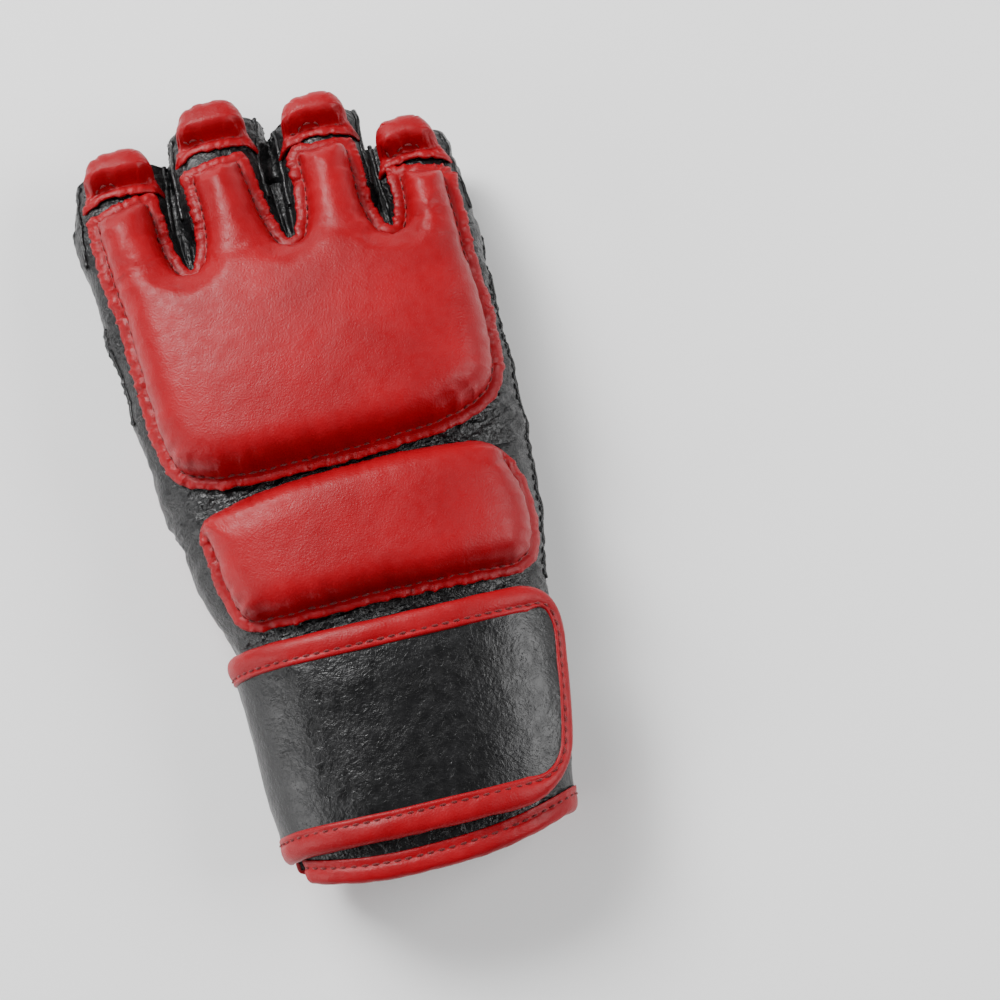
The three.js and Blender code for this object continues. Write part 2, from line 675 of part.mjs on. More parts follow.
function strapField(from, to, nu) {
  return sheet((u, v, side) => {
    const y = lerp(STRAP.bottom + STRAP.binding + GAP, STRAP.top - STRAP.binding - GAP, v);
    return strapPoint(lerp(from(y), to(y), u), y, side ? STRAP.thickness : 0);
  }, nu, 6);
}

const foldAngle = (y, shift) => strapAngleAt(STRAP_FOLD_X + shift, y);

function strapPanel() {
  return strapField((y) => foldAngle(y, -GAP / 2), () => STRAP.root, 10);
}

function strapTipPanel() {
  const inset = STRAP.binding * STRAP_END_INSET + GAP;
  return strapField((y) => strapTipEnd(y, inset), (y) => foldAngle(y, GAP / 2), 8);
}

// Straight binding along one edge of the strap, from the fold to the thumb side.
function strapEdge(low, high) {
  return sheet((u, v, side) => {
    const y = lerp(low, high, v);
    const angle = lerp(foldAngle(y, -GAP / 2), STRAP.root, u);
    return strapPoint(angle, y, side ? STRAP.edge : 0);
  }, 12, 1);
}

const strapUpperBinding = () => strapEdge(STRAP.top - STRAP.binding, STRAP.top);
const strapLowerBinding = () => strapEdge(STRAP.bottom, STRAP.bottom + STRAP.binding);

// Binding round the strap's free end: a tip-shaped plate with the field cut out of it.
function strapTipBinding() {
  const plate = sheet((u, v, side) => {
    const y = lerp(STRAP.bottom, STRAP.top, v);
    return strapPoint(lerp(strapTipEnd(y, 0), foldAngle(y, GAP / 2), u), y, side ? STRAP.edge : 0);
  }, 8, 16);
  const field = sheet((u, v, side) => {
    const y = lerp(STRAP.bottom + STRAP.binding, STRAP.top - STRAP.binding, v);
    const start = strapTipEnd(y, STRAP.binding * STRAP_END_INSET);
    return strapPoint(lerp(start, foldAngle(y, -3), u), y, side ? STRAP.edge + 2 : -2);
  }, 8, 8);
  return cutAway(plate, field);
}

// Seam strip along the thumb side, where the strap is sewn to the cuff.
function strapSeam() {
  return sheet((u, v, side) => {
    const y = lerp(CUFF_PALM.end + CUFF_PALM.hem + 1, STRAP.top - 1, v);
    const p = surface(181, y, GAP);
    return p.add(new THREE.Vector3(side ? -STRAP_SEAM.thickness : 0, 0, -0.6 - u * STRAP_SEAM.width));
  }, 1, 6);
}

// ---- assembly -----------------------------------------------------------------------------

const glove = new THREE.Group();
glove.position.set(ORIGIN.x, ORIGIN.y, 0);

function add(name, geometry, material) {
  const mesh = new THREE.Mesh(geometry, material.clone());
  mesh.name = name;
  glove.add(mesh);
}

add('knuckle_pad_cover', knucklePadCover(), RED);
add('knuckle_pad_foam', knucklePadFoam(), FOAM);
add('wrist_pad_cover', wristPadCover(), RED);
add('wrist_pad_foam', wristPadFoam(), FOAM);
add('back_shell', backShell(), BLACK);
add('hand_lining', handLining(), FABRIC);
add('palm_panel', palmPanel(), BLACK);
add('heel_panel', heelPanel(), BLACK);
add('palm_opening_binding', palmBinding(), RED);
add('thumb_opening_binding', thumbBinding(0), RED);
add('wrist_gusset_back', wristGusset(0.5, 179.5), BLACK);
add('wrist_gusset_palm', wristGusset(HEEL_START, 359), BLACK);

for (const slot of SLOTS) add(`${slot.name}_fourchette`, fourchette(slot), BLACK);

for (const finger of FINGERS) {
  add(`${finger.name}_root_sleeve`, rootSleeve(finger), BLACK);
  add(`${finger.name}_fold_gusset`, foldGusset(finger), BLACK);
  add(`${finger.name}_tip_sleeve`, tipSleeve(finger), BLACK);
  add(`${finger.name}_pad_cover`, fingerPadCover(finger), RED);
  add(`${finger.name}_pad_foam`, fingerPadFoam(finger), FOAM);
}

add('cuff_back_panel', cuffBackPanel(), BLACK);
add('cuff_palm_panel', cuffPalmPanel(), BLACK);
add('cuff_back_hem', cuffBackHem(), RED);
add('cuff_palm_hem', cuffPalmHem(), RED);
add('loop_patch', patch(LOOP_HEIGHT), FABRIC);
add('strap_seam_strip', strapSeam(), BLACK);
add('strap_panel', strapPanel(), BLACK);
add('strap_upper_binding', strapUpperBinding(), RED);
add('strap_lower_binding', strapLowerBinding(), RED);
add('strap_tip_panel', strapTipPanel(), BLACK);
add('strap_tip_binding', strapTipBinding(), RED);
add('hook_patch', patch(HOOK_HEIGHT), FABRIC);

export default glove;
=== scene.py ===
"""Looks of an open-finger martial arts glove for the right hand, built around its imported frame.

Shapes are worked out in millimetres from a point ORIGIN away from the frame's origin, and become
metres in the frame when a mesh is made. +Y runs along the fingers, +Z is the back of the hand
and -X the thumb side, as in the frame.
"""
import math

import bmesh
import bpy
import numpy as np
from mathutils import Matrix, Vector, noise
from mathutils.bvhtree import BVHTree
from mathutils.geometry import delaunay_2d_cdt
from mathutils.kdtree import KDTree


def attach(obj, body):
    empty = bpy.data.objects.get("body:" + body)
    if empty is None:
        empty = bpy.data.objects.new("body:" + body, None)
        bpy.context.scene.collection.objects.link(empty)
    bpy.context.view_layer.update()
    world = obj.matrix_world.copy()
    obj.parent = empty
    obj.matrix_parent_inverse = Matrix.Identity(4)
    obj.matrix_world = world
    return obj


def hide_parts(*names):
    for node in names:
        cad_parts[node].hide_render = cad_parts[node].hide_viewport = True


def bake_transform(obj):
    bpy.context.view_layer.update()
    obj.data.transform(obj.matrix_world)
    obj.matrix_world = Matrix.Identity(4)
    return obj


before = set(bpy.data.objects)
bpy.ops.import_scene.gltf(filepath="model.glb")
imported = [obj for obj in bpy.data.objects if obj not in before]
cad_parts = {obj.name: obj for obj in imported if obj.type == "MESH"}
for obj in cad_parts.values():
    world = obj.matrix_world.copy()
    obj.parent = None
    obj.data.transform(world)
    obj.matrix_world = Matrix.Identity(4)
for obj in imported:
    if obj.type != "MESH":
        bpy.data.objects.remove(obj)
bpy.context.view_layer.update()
MM = 0.001
ORIGIN = np.array([1.5, -4.64, 0])

# ---- driving dimensions ---------------------------------------------------------------------

# Cross-sections of hand and cuff: y, thumb-side x, little-finger-side x, side seam height,
# rise of the back, drop of the palm
SECTIONS = np.array([
    [-124, -43, 39, 22, 21, 23.5],
    [-90, -44.6, 46, 22, 22, 23.5],
    [-46, -46.4, 50.5, 22.5, 22.5, 23.5],
    [-20, -53, 55.5, 22.5, 22, 21],
    [4, -57, 58.5, 22.5, 21, 19.5],
    [40, -60.5, 59, 22.5, 19.5, 16.5],
    [76, -63, 60, 21, 16, 14],
    [110, -63, 58, 16, 12, 11],
], float)
SECTION_POWER = 2.5
SHELL = 1.6  # leather and its backing

FINGERS = [
    dict(name="index", x=-47, drift=0.06, fold=102.5, z=18.5, width=27, height=25, reach=16),
    dict(name="middle", x=-15, drift=0.06, fold=109.5, z=19, width=27, height=26, reach=17),
    dict(name="ring", x=18, drift=0.03, fold=105.5, z=18.8, width=26, height=25, reach=15.5),
    dict(name="little", x=46, drift=-0.08, fold=90, z=21, width=24, height=23, reach=16),
]
FINGER_POWER = 2.6
ROOT_SLOPE = 10
TIP_SLOPE = 22
TIP_CUT = 8  # the sleeve's end leans back from square by this angle
BEND_HALF = 5  # the sleeve bends over this length each side of its fold
HAND_END = 77  # finger sleeves are separate pieces from here on
SIDE_BULGE = 0.15  # the side leather of the sleeves stands out by this share
INDEX_FLARE = 3.2  # the index sleeve stands out further at its base, on the thumb side
BLEND_HALF = 7.5  # half length, each side of a finger's fold, where hand meets finger; not used in shaping

# Slots between the lobes of the knuckle pad, with the length of the leather web in each
SLOTS = [
    dict(name="index_middle", x=-30.5, half=4.3, bottom=76.5, web=25),
    dict(name="middle_ring", x=2.0, half=4.2, bottom=78.0, web=27),
    dict(name="ring_little", x=33.0, half=4.0, bottom=73.5, web=21),
]
PALM_OPENING = [
    [-40.5, 54], [-37.5, 60.5], [-30, 63.5], [-6, 63], [13, 59], [28.5, 51.5], [37.5, 42],
    [40.5, 31], [40.5, 17], [37, 4], [29.5, -7.5], [19, -17.5], [8, -23], [-1, -23.5],
    [-8.5, -18.5], [-14, -9], [-20, 4], [-24, 16], [-28, 28], [-34, 39],
]
THUMB_EDGE = [[-47, 38], [-39, 31], [-34.5, 18], [-31.5, 2], [-31.5, -16], [-35, -28], [-43, -34.5]]
THUMB_BACK = [-30, -15, 0, 15, 31]
THUMB_BACK_ANGLE = 201
THUMB_CUT_DEPTH = 14  # how far behind its middle the thumb opening's cut reaches
THUMB_OUT = np.array([-0.7071, 0, -0.7071])

STRAP = dict(top=-45.8, bottom=-111, root=179, end=16, thickness=2.6, binding=8.5, rim=5)
STRAP_ROUND = 17
STRAP_SLANT = 0.13
STRAP_CLIMB = 2.8  # the strap slants towards the hand by this much at its root
STRAP_MIDDLE = -78  # y
PATCH = dict(top=-58, bottom=-100, thumb_end=72, finger_end=26)
PATCH_INSET = 7  # from the strap's edge at its end
CUFF_SLIT = [158, 180]  # the cuff is open under the strap's root, between these angles
CUFF_SLIT_TOP = -50
CUFF_BACK = dict(end=-121.6, side_rise=7, hem=8)
CUFF_PALM = dict(end=-111.5, hem=8)
STITCH_PITCH = 3.3
STITCH_HALF = 0.36 * STITCH_PITCH  # half of the thread that shows between two holes
THREAD_RADIUS = 0.36
FLOOR = -1.5  # the cuff's hem is the lowest leather


# ---- small maths ----------------------------------------------------------------------------

def to_frame(points):
    """Millimetres of this script to metres in the frame."""
    return (np.asarray(points, float) + ORIGIN) * MM


def from_frame(points):
    return np.asarray(points, float) / MM - ORIGIN


def signed_power(value, power):
    return np.sign(value) * np.abs(value) ** power


def smoothstep(value, low, high):
    t = np.clip((value - low) / (high - low), 0, 1)
    return t * t * (3 - 2 * t)


def hump(value, middle, width):
    """A smooth bell of height 1 around the middle."""
    return np.exp(-(((value - middle) / width) ** 2))


def unit(rows):
    return rows / np.maximum(np.linalg.norm(rows, axis=-1, keepdims=True), 1e-9)


def section_slopes():
    last = len(SECTIONS) - 1
    rows = [SECTIONS[min(k + 1, last)] - SECTIONS[max(k - 1, 0)] for k in range(last + 1)]
    return np.array([row / row[0] for row in rows])


SECTION_SLOPES = section_slopes()


def section(y):
    """Middle x, half width, seam height, rise of the back and drop of the palm at each y."""
    y = np.asarray(y, float)
    k = np.clip(np.searchsorted(SECTIONS[:, 0], y, side="right") - 1, 0, len(SECTIONS) - 2)
    a, b = SECTIONS[k], SECTIONS[k + 1]
    span = (b[..., 0] - a[..., 0])[..., None]
    t = np.clip((y[..., None] - a[..., :1]) / span, 0, 1)
    m, n = SECTION_SLOPES[k] * span, SECTION_SLOPES[k + 1] * span
    row = a + t * m + t**2 * (3 * (b - a) - 2 * m - n) + t**3 * (2 * (a - b) + m + n)
    left, right = row[..., 1], row[..., 2]
    return (left + right) / 2, (right - left) / 2, row[..., 3], row[..., 4], row[..., 5]


def surface(angle, y, offset=0.0):
    """Points on hand or cuff: angle 0 little-finger side, 90 back, 180 thumb side, 270 palm."""
    angle, y, offset = np.broadcast_arrays(np.asarray(angle, float), y, offset)
    middle, half, seam, back, palm = section(y)
    c, n = np.cos(np.radians(angle)), np.sin(np.radians(angle))
    x = middle + (half + offset) * signed_power(c, 2 / SECTION_POWER)
    z = seam + (np.where(n >= 0, back, palm) + offset) * signed_power(n, 2 / SECTION_POWER)
    return np.stack([x, y, np.maximum(z, -offset)], -1)


def outward(angle, y):
    """Unit normals of the hand or cuff in its cross-section."""
    step = surface(np.asarray(angle) + 0.5, y) - surface(np.asarray(angle) - 0.5, y)
    return unit(np.stack([step[..., 2], np.zeros_like(step[..., 0]), -step[..., 0]], -1))


def side_height(x, y, side):
    """Height of the back (side 1) or palm (side -1) at x, y."""
    middle, half, seam, back, palm = section(y)
    across = np.minimum(np.abs((x - middle) / half), 0.995)
    rise = (1 - across**SECTION_POWER) ** (1 / SECTION_POWER)
    return seam + back * rise if side > 0 else np.maximum(seam - palm * rise, 0)


def section_angle(points):
    """The angle of points on or near the glove's cross-section."""
    middle, half, seam, back, palm = section(points[:, 1])
    c = signed_power((points[:, 0] - middle) / half, SECTION_POWER / 2)
    up = points[:, 2] - seam
    n = signed_power(up / np.where(up >= 0, back, palm), SECTION_POWER / 2)
    return np.degrees(np.arctan2(n, c)) % 360


def finger_centreline():
    """Distance along a sleeve from its fold, and the y and z of its middle and its slope there."""
    along = np.arange(-60, 40.25, 0.25)
    slope = np.radians(ROOT_SLOPE + (TIP_SLOPE - ROOT_SLOPE) * smoothstep(along, -BEND_HALF, BEND_HALF))
    y = np.cumsum(np.cos(slope)) * 0.25
    z = -np.cumsum(np.sin(slope)) * 0.25
    origin = np.searchsorted(along, 0)
    return along, y - y[origin], z - z[origin], slope


FINGER_LINE = finger_centreline()


def finger_point(finger, across, rise, along):
    """Points of a finger sleeve: rise is square to the sleeve, along runs from fold to tip."""
    table, ys, zs, slopes = FINGER_LINE
    along, across, rise = np.broadcast_arrays(np.asarray(along, float), across, rise)
    slope = np.interp(along, table, slopes)
    dy = np.interp(along, table, ys) + rise * np.sin(slope)
    z = finger["z"] + np.interp(along, table, zs) + rise * np.cos(slope)
    return np.stack([finger["x"] + finger["drift"] * dy + across, finger["fold"] + dy, z], -1)


def finger_ring(finger, angle, grow=0.0):
    """Section of a sleeve."""
    power = 2 / FINGER_POWER
    across = (finger["width"] / 2 + grow) * signed_power(np.cos(np.radians(angle)), power)
    rise = (finger["height"] / 2 + grow) * signed_power(np.sin(np.radians(angle)), power)
    return across, rise


def sleeve_side(across, angle):
    """How far across a sleeve's leather stands, where its sides bulge."""
    return across * (1 + SIDE_BULGE * np.cos(np.radians(angle)) ** 4)


def sleeve_owner(points):
    """Which finger's sleeve each point past the hand belongs to."""
    away = [np.abs(points[:, 0] - f["x"] - f["drift"] * (points[:, 1] - f["fold"])) / f["width"]
            for f in FINGERS]
    return np.where(points[:, 1] > HAND_END, np.argmin(away, axis=0), -1)


def sleeve_rise(finger, across):
    share = np.minimum(np.abs(across) / (finger["width"] / 2), 0.99)
    return finger["height"] / 2 * (1 - share**FINGER_POWER) ** (1 / FINGER_POWER)


def noise_at(points, size, octaves=2, shift=0.0):
    """Smooth noise, about -1 to 1, with features about size long; size may differ by axis."""
    scaled = np.asarray(points, float) / size + shift
    return np.array([noise.fractal(p, 0.9, 2.0, octaves) for p in scaled])


def wave_noise(positions, size, shift):
    """Smooth noise along a line."""
    return np.array([noise.noise((s / size, shift, 0.37)) for s in np.ravel(positions)])


# ---- outlines -------------------------------------------------------------------------------

def distances_along(line):
    """How far each point of a line is from its start, along the line."""
    return np.concatenate([[0], np.cumsum(np.linalg.norm(np.diff(line, axis=0), axis=1))])


def resample(points, step, closed):
    """The same line with points evenly spaced, about step apart."""
    points = np.asarray(points, float)
    if closed:
        points = np.vstack([points, points[:1]])
    lengths = distances_along(points)
    count = max(int(round(lengths[-1] / step)), 3)
    at = np.linspace(0, lengths[-1], count + 1)
    if closed:
        at = at[:-1]
    return np.stack([np.interp(at, lengths, points[:, k]) for k in range(points.shape[1])], -1)


def rounded_outline(corners, step, closed=True):
    """Line through corners (x, y, reach): rounding starts reach away from each corner."""
    xy = np.array([c[:2] for c in corners], float)
    count = len(corners)
    line = []
    for i, (*_, reach) in enumerate(corners):
        if not closed and i in (0, count - 1):
            line.append(xy[i])
            continue
        before, here, after = xy[i - 1], xy[i], xy[(i + 1) % count]
        ends = []
        for other in (before, after):
            length = np.linalg.norm(other - here)
            ends.append(here + (other - here) / length * min(reach, 0.49 * length))
        for t in np.linspace(0, 1, 9):
            line.append((1 - t) ** 2 * ends[0] + 2 * t * (1 - t) * here + t * t * ends[1])
    return resample(line, step, closed)


def closed_curve(points, step):
    """Closed centripetal Catmull-Rom curve through points."""
    points = np.asarray(points, float)
    count = len(points)
    line = []
    for i in range(count):
        p = [points[(i + k - 1) % count] for k in range(4)]
        gaps = [np.linalg.norm(b - a) ** 0.5 for a, b in zip(p, p[1:])]
        knots = np.concatenate([[0], np.cumsum(gaps)])
        for t in np.linspace(knots[1], knots[2], 12, endpoint=False):
            a, b, c = (mix(p[k], p[k + 1], t, knots[k], knots[k + 1]) for k in range(3))
            d, e = mix(a, b, t, knots[0], knots[2]), mix(b, c, t, knots[1], knots[3])
            line.append(mix(d, e, t, knots[1], knots[2]))
    return resample(line, step, True)


def mix(a, b, t, low, high):
    return a + (b - a) * (t - low) / (high - low)


def inside(points, outline):
    """Whether 2D points lie inside a closed outline."""
    x, y = points[:, 0], points[:, 1]
    result = np.zeros(len(points), bool)
    for (ax, ay), (bx, by) in zip(outline, np.roll(outline, -1, axis=0)):
        crosses = (ay > y) != (by > y)
        at = ax + (y - ay) * (bx - ax) / np.where(by == ay, 1e-9, by - ay)
        result ^= crosses & (x < at)
    return result


def edge_distance(points, outline):
    """Distance of 2D points from a closed outline, and how far round it the nearest place is."""
    ends = np.roll(outline, -1, axis=0)
    edge = ends - outline
    lengths = np.linalg.norm(edge, axis=1)
    starts = np.concatenate([[0], np.cumsum(lengths)[:-1]])
    best, place = np.full(len(points), 1e9), np.zeros(len(points))
    for k in range(len(outline)):
        t = np.clip((points - outline[k]) @ edge[k] / lengths[k] ** 2, 0, 1)
        away = np.linalg.norm(points - outline[k] - t[:, None] * edge[k], axis=1)
        closer = away < best
        best = np.where(closer, away, best)
        place = np.where(closer, starts[k] + t * lengths[k], place)
    return best, place


def line_directions(points, closed):
    if closed:
        return unit(np.roll(points, -1, axis=0) - np.roll(points, 1, axis=0))
    return unit(np.gradient(points, axis=0))


def inset_line(outline, depth):
    """Points at a depth inside an outline that runs anticlockwise."""
    along = line_directions(outline, True)
    moved = outline + np.stack([-along[:, 1], along[:, 0]], -1) * depth
    distance, _ = edge_distance(moved, outline)
    return moved[(distance > depth - 0.06) & inside(moved, outline)]


def anticlockwise(outline):
    x, y = outline[:, 0], outline[:, 1]
    area = np.sum(x * np.roll(y, -1) - np.roll(x, -1) * y)
    return outline if area > 0 else outline[::-1]


# ---- meshes ---------------------------------------------------------------------------------

def add_object(name, data):
    obj = bpy.data.objects.new(name, data)
    bpy.context.scene.collection.objects.link(obj)
    return obj


def make_object(name, points, faces, *materials):
    """A smooth-shaded object from points in millimetres."""
    mesh = bpy.data.meshes.new(name)
    mesh.from_pydata(to_frame(points).tolist(), [], [tuple(map(int, f)) for f in faces])
    mesh.validate()
    body = bmesh.new()
    body.from_mesh(mesh)
    bmesh.ops.recalc_face_normals(body, faces=body.faces)
    body.to_mesh(mesh)
    body.free()
    mesh.shade_smooth()
    for material in materials:
        mesh.materials.append(material)
    return add_object(name, mesh)


def vectors(items, attribute):
    """One attribute of all vertices or faces, as rows of three numbers."""
    flat = np.zeros(len(items) * 3, np.float32)
    items.foreach_get(attribute, flat)
    return flat.reshape(-1, 3)


def coordinates(obj):
    return from_frame(vectors(obj.data.vertices, "co"))


def set_coordinates(obj, points):
    obj.data.vertices.foreach_set("co", to_frame(points).astype(np.float32).ravel())
    obj.data.update()


def vertex_normals(obj):
    return vectors(obj.data.vertex_normals, "vector").astype(float)


def apply_modifiers(obj):
    graph = bpy.context.evaluated_depsgraph_get()
    mesh = bpy.data.meshes.new_from_object(obj.evaluated_get(graph))
    old = obj.data
    obj.modifiers.clear()
    obj.data = mesh
    mesh.name = obj.name
    bpy.data.meshes.remove(old)
    return obj


def subdivide(obj, levels):
    modifier = obj.modifiers.new("Subdivision", "SUBSURF")
    modifier.levels = modifier.render_levels = levels
    modifier.boundary_smooth = "PRESERVE_CORNERS"
    return apply_modifiers(obj)


def join(objects, name):
    """One object from several that share their materials' order."""
    points, faces, slots = [], [], []
    start = 0
    for obj in objects:
        points.append(coordinates(obj))
        for polygon in obj.data.polygons:
            faces.append([start + v for v in polygon.vertices])
            slots.append(polygon.material_index)
        start += len(obj.data.vertices)
    materials = list(objects[0].data.materials)
    for obj in objects:
        bpy.data.objects.remove(obj)
    whole = make_object(name, np.vstack(points), faces, *materials)
    whole.data.polygons.foreach_set("material_index", slots)
    return whole


def grid_faces(rows, columns, wrap_rows=False, wrap_columns=False):
    r = np.arange(rows if wrap_rows else rows - 1)
    c = np.arange(columns if wrap_columns else columns - 1)
    r, c = (g.ravel() for g in np.meshgrid(r, c, indexing="ij"))
    r2, c2 = (r + 1) % rows, (c + 1) % columns
    return np.stack([r * columns + c, r2 * columns + c, r2 * columns + c2, r * columns + c2], -1)


def tube_faces(rows, columns):
    """Faces of a tube through rings of points, with both ends closed."""
    last = (rows - 1) * columns
    return [*grid_faces(rows, columns, wrap_columns=True).tolist(), list(range(columns)),
            list(range(last, last + columns))[::-1]]


def slab(name, upper, lower, *materials):
    """A closed sheet between two matching grids of points."""
    rows, columns = upper.shape[:2]
    count = rows * columns
    sheet = grid_faces(rows, columns)
    edge = [*range(columns), *(r * columns + columns - 1 for r in range(1, rows)),
            *((rows - 1) * columns + c for c in range(columns - 2, -1, -1)),
            *(r * columns for r in range(rows - 2, 0, -1))]
    walls = [(a, b, b + count, a + count) for a, b in zip(edge, edge[1:] + edge[:1])]
    points = np.vstack([upper.reshape(-1, 3), lower.reshape(-1, 3)])
    return make_object(name, points, [*sheet, *(sheet[:, ::-1] + count), *walls], *materials)


def sweep(name, lines, closed, *materials):
    """A bar through matching points of lines, which are its section's corners in order."""
    lines = np.stack(lines, 1)
    size = lines.shape[:2]
    faces = grid_faces(*size, wrap_rows=True, wrap_columns=True) if closed else tube_faces(*size)
    return make_object(name, lines.reshape(-1, 3), faces, *materials)


def ridge(name, line, normals, half, height, closed, material):
    """A raised round welt along a line that lies on a surface."""
    across = np.cross(line_directions(line, closed), normals)
    turns = np.radians(np.linspace(-30, 210, 9))
    lines = [
        line + across * (half * math.cos(t)) + normals * (height * math.sin(t)) for t in turns
    ]
    return sweep(name, lines, closed, material)


def stitch_mesh(start, end, up):
    """Points and faces of one thread stitch: a short arc pressed in at both ends."""
    rings, sides = 5, 6
    along = end - start
    side = unit(np.cross(along, up))
    points = []
    for t in np.linspace(0, 1, rings):
        arch = math.sin(math.pi * t)
        width = THREAD_RADIUS * (0.45 + 0.55 * arch)
        centre = start + along * t + up * (0.45 * arch - 0.2)
        for turn in np.radians(np.arange(0, 360, 360 / sides)):
            points.append(centre + side * (width * math.cos(turn)) + up * (width * math.sin(turn)))
    return points, tube_faces(rings, sides)


def stitch_row(name, line, normals, closed, material, shown=None):
    """Lockstitch thread along a line on a surface, where it is shown."""
    seen = np.ones(len(line)) if shown is None else shown.astype(float)
    if closed:
        line, normals, seen = (np.concatenate([rows, rows[:1]]) for rows in (line, normals, seen))
    at = distances_along(line)
    count = int(at[-1] / STITCH_PITCH)
    points, faces = [], []
    for k in range(count):
        s = (k + 0.5) * at[-1] / count
        if np.interp(s, at, seen) < 0.99:
            continue
        shift = 0.25 * noise.noise((s / 5, 3.1, 0.7))
        places = (s - STITCH_HALF + shift, s + STITCH_HALF + shift)
        start, end = (np.array([np.interp(p, at, column) for column in line.T]) for p in places)
        up = unit(np.array([np.interp(s, at, column) for column in normals.T]))
        more, quads = stitch_mesh(start, end, up)
        faces += [[f + len(points) for f in quad] for quad in quads]
        points += more
    return make_object(name, points, faces, material)


# ---- materials ------------------------------------------------------------------------------

def new_material(name, roughness, specular=0.5, coat=0.0, sheen=0.0):
    material = bpy.data.materials.new(name)
    material.use_nodes = True
    shader = material.node_tree.nodes["Principled BSDF"]
    shader.inputs["Roughness"].default_value = roughness
    shader.inputs["Specular IOR Level"].default_value = specular
    shader.inputs["Coat Weight"].default_value = coat
    shader.inputs["Coat Roughness"].default_value = 0.28
    shader.inputs["Sheen Weight"].default_value = sheen
    shader.inputs["Sheen Roughness"].default_value = 0.5
    return material, material.node_tree, shader


def texture(tree, kind, scale, **settings):
    """A texture node whose scale is in features per millimetre of the object."""
    place = tree.nodes.new("ShaderNodeTexCoord")
    mapping = tree.nodes.new("ShaderNodeMapping")
    mapping.inputs["Scale"].default_value = [1 / MM] * 3
    tree.links.new(place.outputs["Object"], mapping.inputs["Vector"])
    node = tree.nodes.new(kind)
    node.inputs["Scale"].default_value = scale
    tree.links.new(mapping.outputs["Vector"], node.inputs["Vector"])
    for key, value in settings.items():
        if key in node.inputs:
            node.inputs[key].default_value = value
        else:
            setattr(node, key, value)
    return node


def ramp(tree, source, *stops):
    node = tree.nodes.new("ShaderNodeValToRGB")
    elements = node.color_ramp.elements
    while len(elements) < len(stops):
        elements.new(0.5)
    for element, (at, colour) in zip(elements, stops):
        element.position = at
        element.color = (*colour, 1) if hasattr(colour, "__len__") else (colour, colour, colour, 1)
    tree.links.new(source, node.inputs["Fac"])
    return node.outputs["Color"]


def tint(tree, socket, source, *stops):
    """Sets a socket of the shader by a texture, through a ramp of colours or greys."""
    tree.links.new(ramp(tree, source.outputs["Fac"], *stops), socket)


def combine(tree, operation, a, b):
    node = tree.nodes.new("ShaderNodeMath")
    node.operation = operation
    for socket, value in zip(node.inputs, (a, b)):
        if isinstance(value, (int, float)):
            socket.default_value = value
        else:
            tree.links.new(value, socket)
    return node.outputs["Value"]


def bump(tree, shader, height, depth, strength, below=None):
    """Bump of a depth in millimetres, on top of another bump."""
    node = tree.nodes.new("ShaderNodeBump")
    node.inputs["Distance"].default_value = depth * MM
    node.inputs["Strength"].default_value = strength
    tree.links.new(height, node.inputs["Height"])
    if below:
        tree.links.new(below, node.inputs["Normal"])
    tree.links.new(node.outputs["Normal"], shader.inputs["Normal"])
    return node.outputs["Normal"]


def red_leather():
    """Satin red leather with a fine pebbled grain."""
    material, tree, shader = new_material("red_leather_skin", 0.45, specular=0.24)
    broad = texture(tree, "ShaderNodeTexNoise", 0.05, Detail=3.0)
    tint(tree, shader.inputs["Base Color"], broad, (0.3, (0.24, 0.0006, 0.005)), (0.7, (0.31, 0.001, 0.007)))
    worn = texture(tree, "ShaderNodeTexNoise", 0.35, Detail=4.0)
    tint(tree, shader.inputs["Roughness"], worn, (0.3, 0.34), (0.72, 0.5))
    grain = texture(tree, "ShaderNodeTexVoronoi", 1.7, feature="SMOOTH_F1")
    pores = texture(tree, "ShaderNodeTexNoise", 2.6, Detail=3.0)
    height = combine(tree, "ADD", grain.outputs["Distance"], pores.outputs["Fac"])
    bump(tree, shader, height, 0.16, 0.42)
    return material


def black_leather(name, wrinkle, grain_depth):
    """Glossy black leather with a coarse pebbled grain and fine creases."""
    material, tree, shader = new_material(name, 0.34, specular=0.42, coat=0.06)
    broad = texture(tree, "ShaderNodeTexNoise", 0.08, Detail=4.0)
    tint(tree, shader.inputs["Base Color"], broad,
         (0.3, (0.0015, 0.0015, 0.0018)), (0.75, (0.004, 0.004, 0.0046)))
    worn = texture(tree, "ShaderNodeTexNoise", 0.3, Detail=5.0)
    tint(tree, shader.inputs["Roughness"], worn, (0.3, 0.26), (0.7, 0.42))
    warp = texture(tree, "ShaderNodeTexNoise", 0.25, Detail=4.0, Distortion=1.2)
    creases = ramp(tree, warp.outputs["Fac"], (0.44, 0.0), (0.5, 1.0), (0.56, 0.0))
    below = bump(tree, shader, creases, 0.35, wrinkle)
    grain = texture(tree, "ShaderNodeTexVoronoi", 0.85, feature="SMOOTH_F1")
    fine = texture(tree, "ShaderNodeTexVoronoi", 2.1, feature="F1")
    height = combine(tree, "ADD", grain.outputs["Distance"],
                     combine(tree, "MULTIPLY", fine.outputs["Distance"], 0.35))
    bump(tree, shader, height, grain_depth, 0.75, below)
    return material


def knit_fabric(name, dark, light):
    """Brushed knit lining."""
    material, tree, shader = new_material(name, 0.95, specular=0.15, sheen=0.25)
    cloth = texture(tree, "ShaderNodeTexNoise", 0.5, Detail=4.0)
    tint(tree, shader.inputs["Base Color"], cloth, (0.3, dark), (0.7, light))
    courses = texture(tree, "ShaderNodeTexWave", 0.33, bands_direction="X", Distortion=0.6)
    wales = texture(tree, "ShaderNodeTexWave", 0.26, bands_direction="Y", Distortion=0.6)
    height = combine(tree, "MULTIPLY", courses.outputs["Fac"], wales.outputs["Fac"])
    bump(tree, shader, height, 0.4, 0.8)
    return material


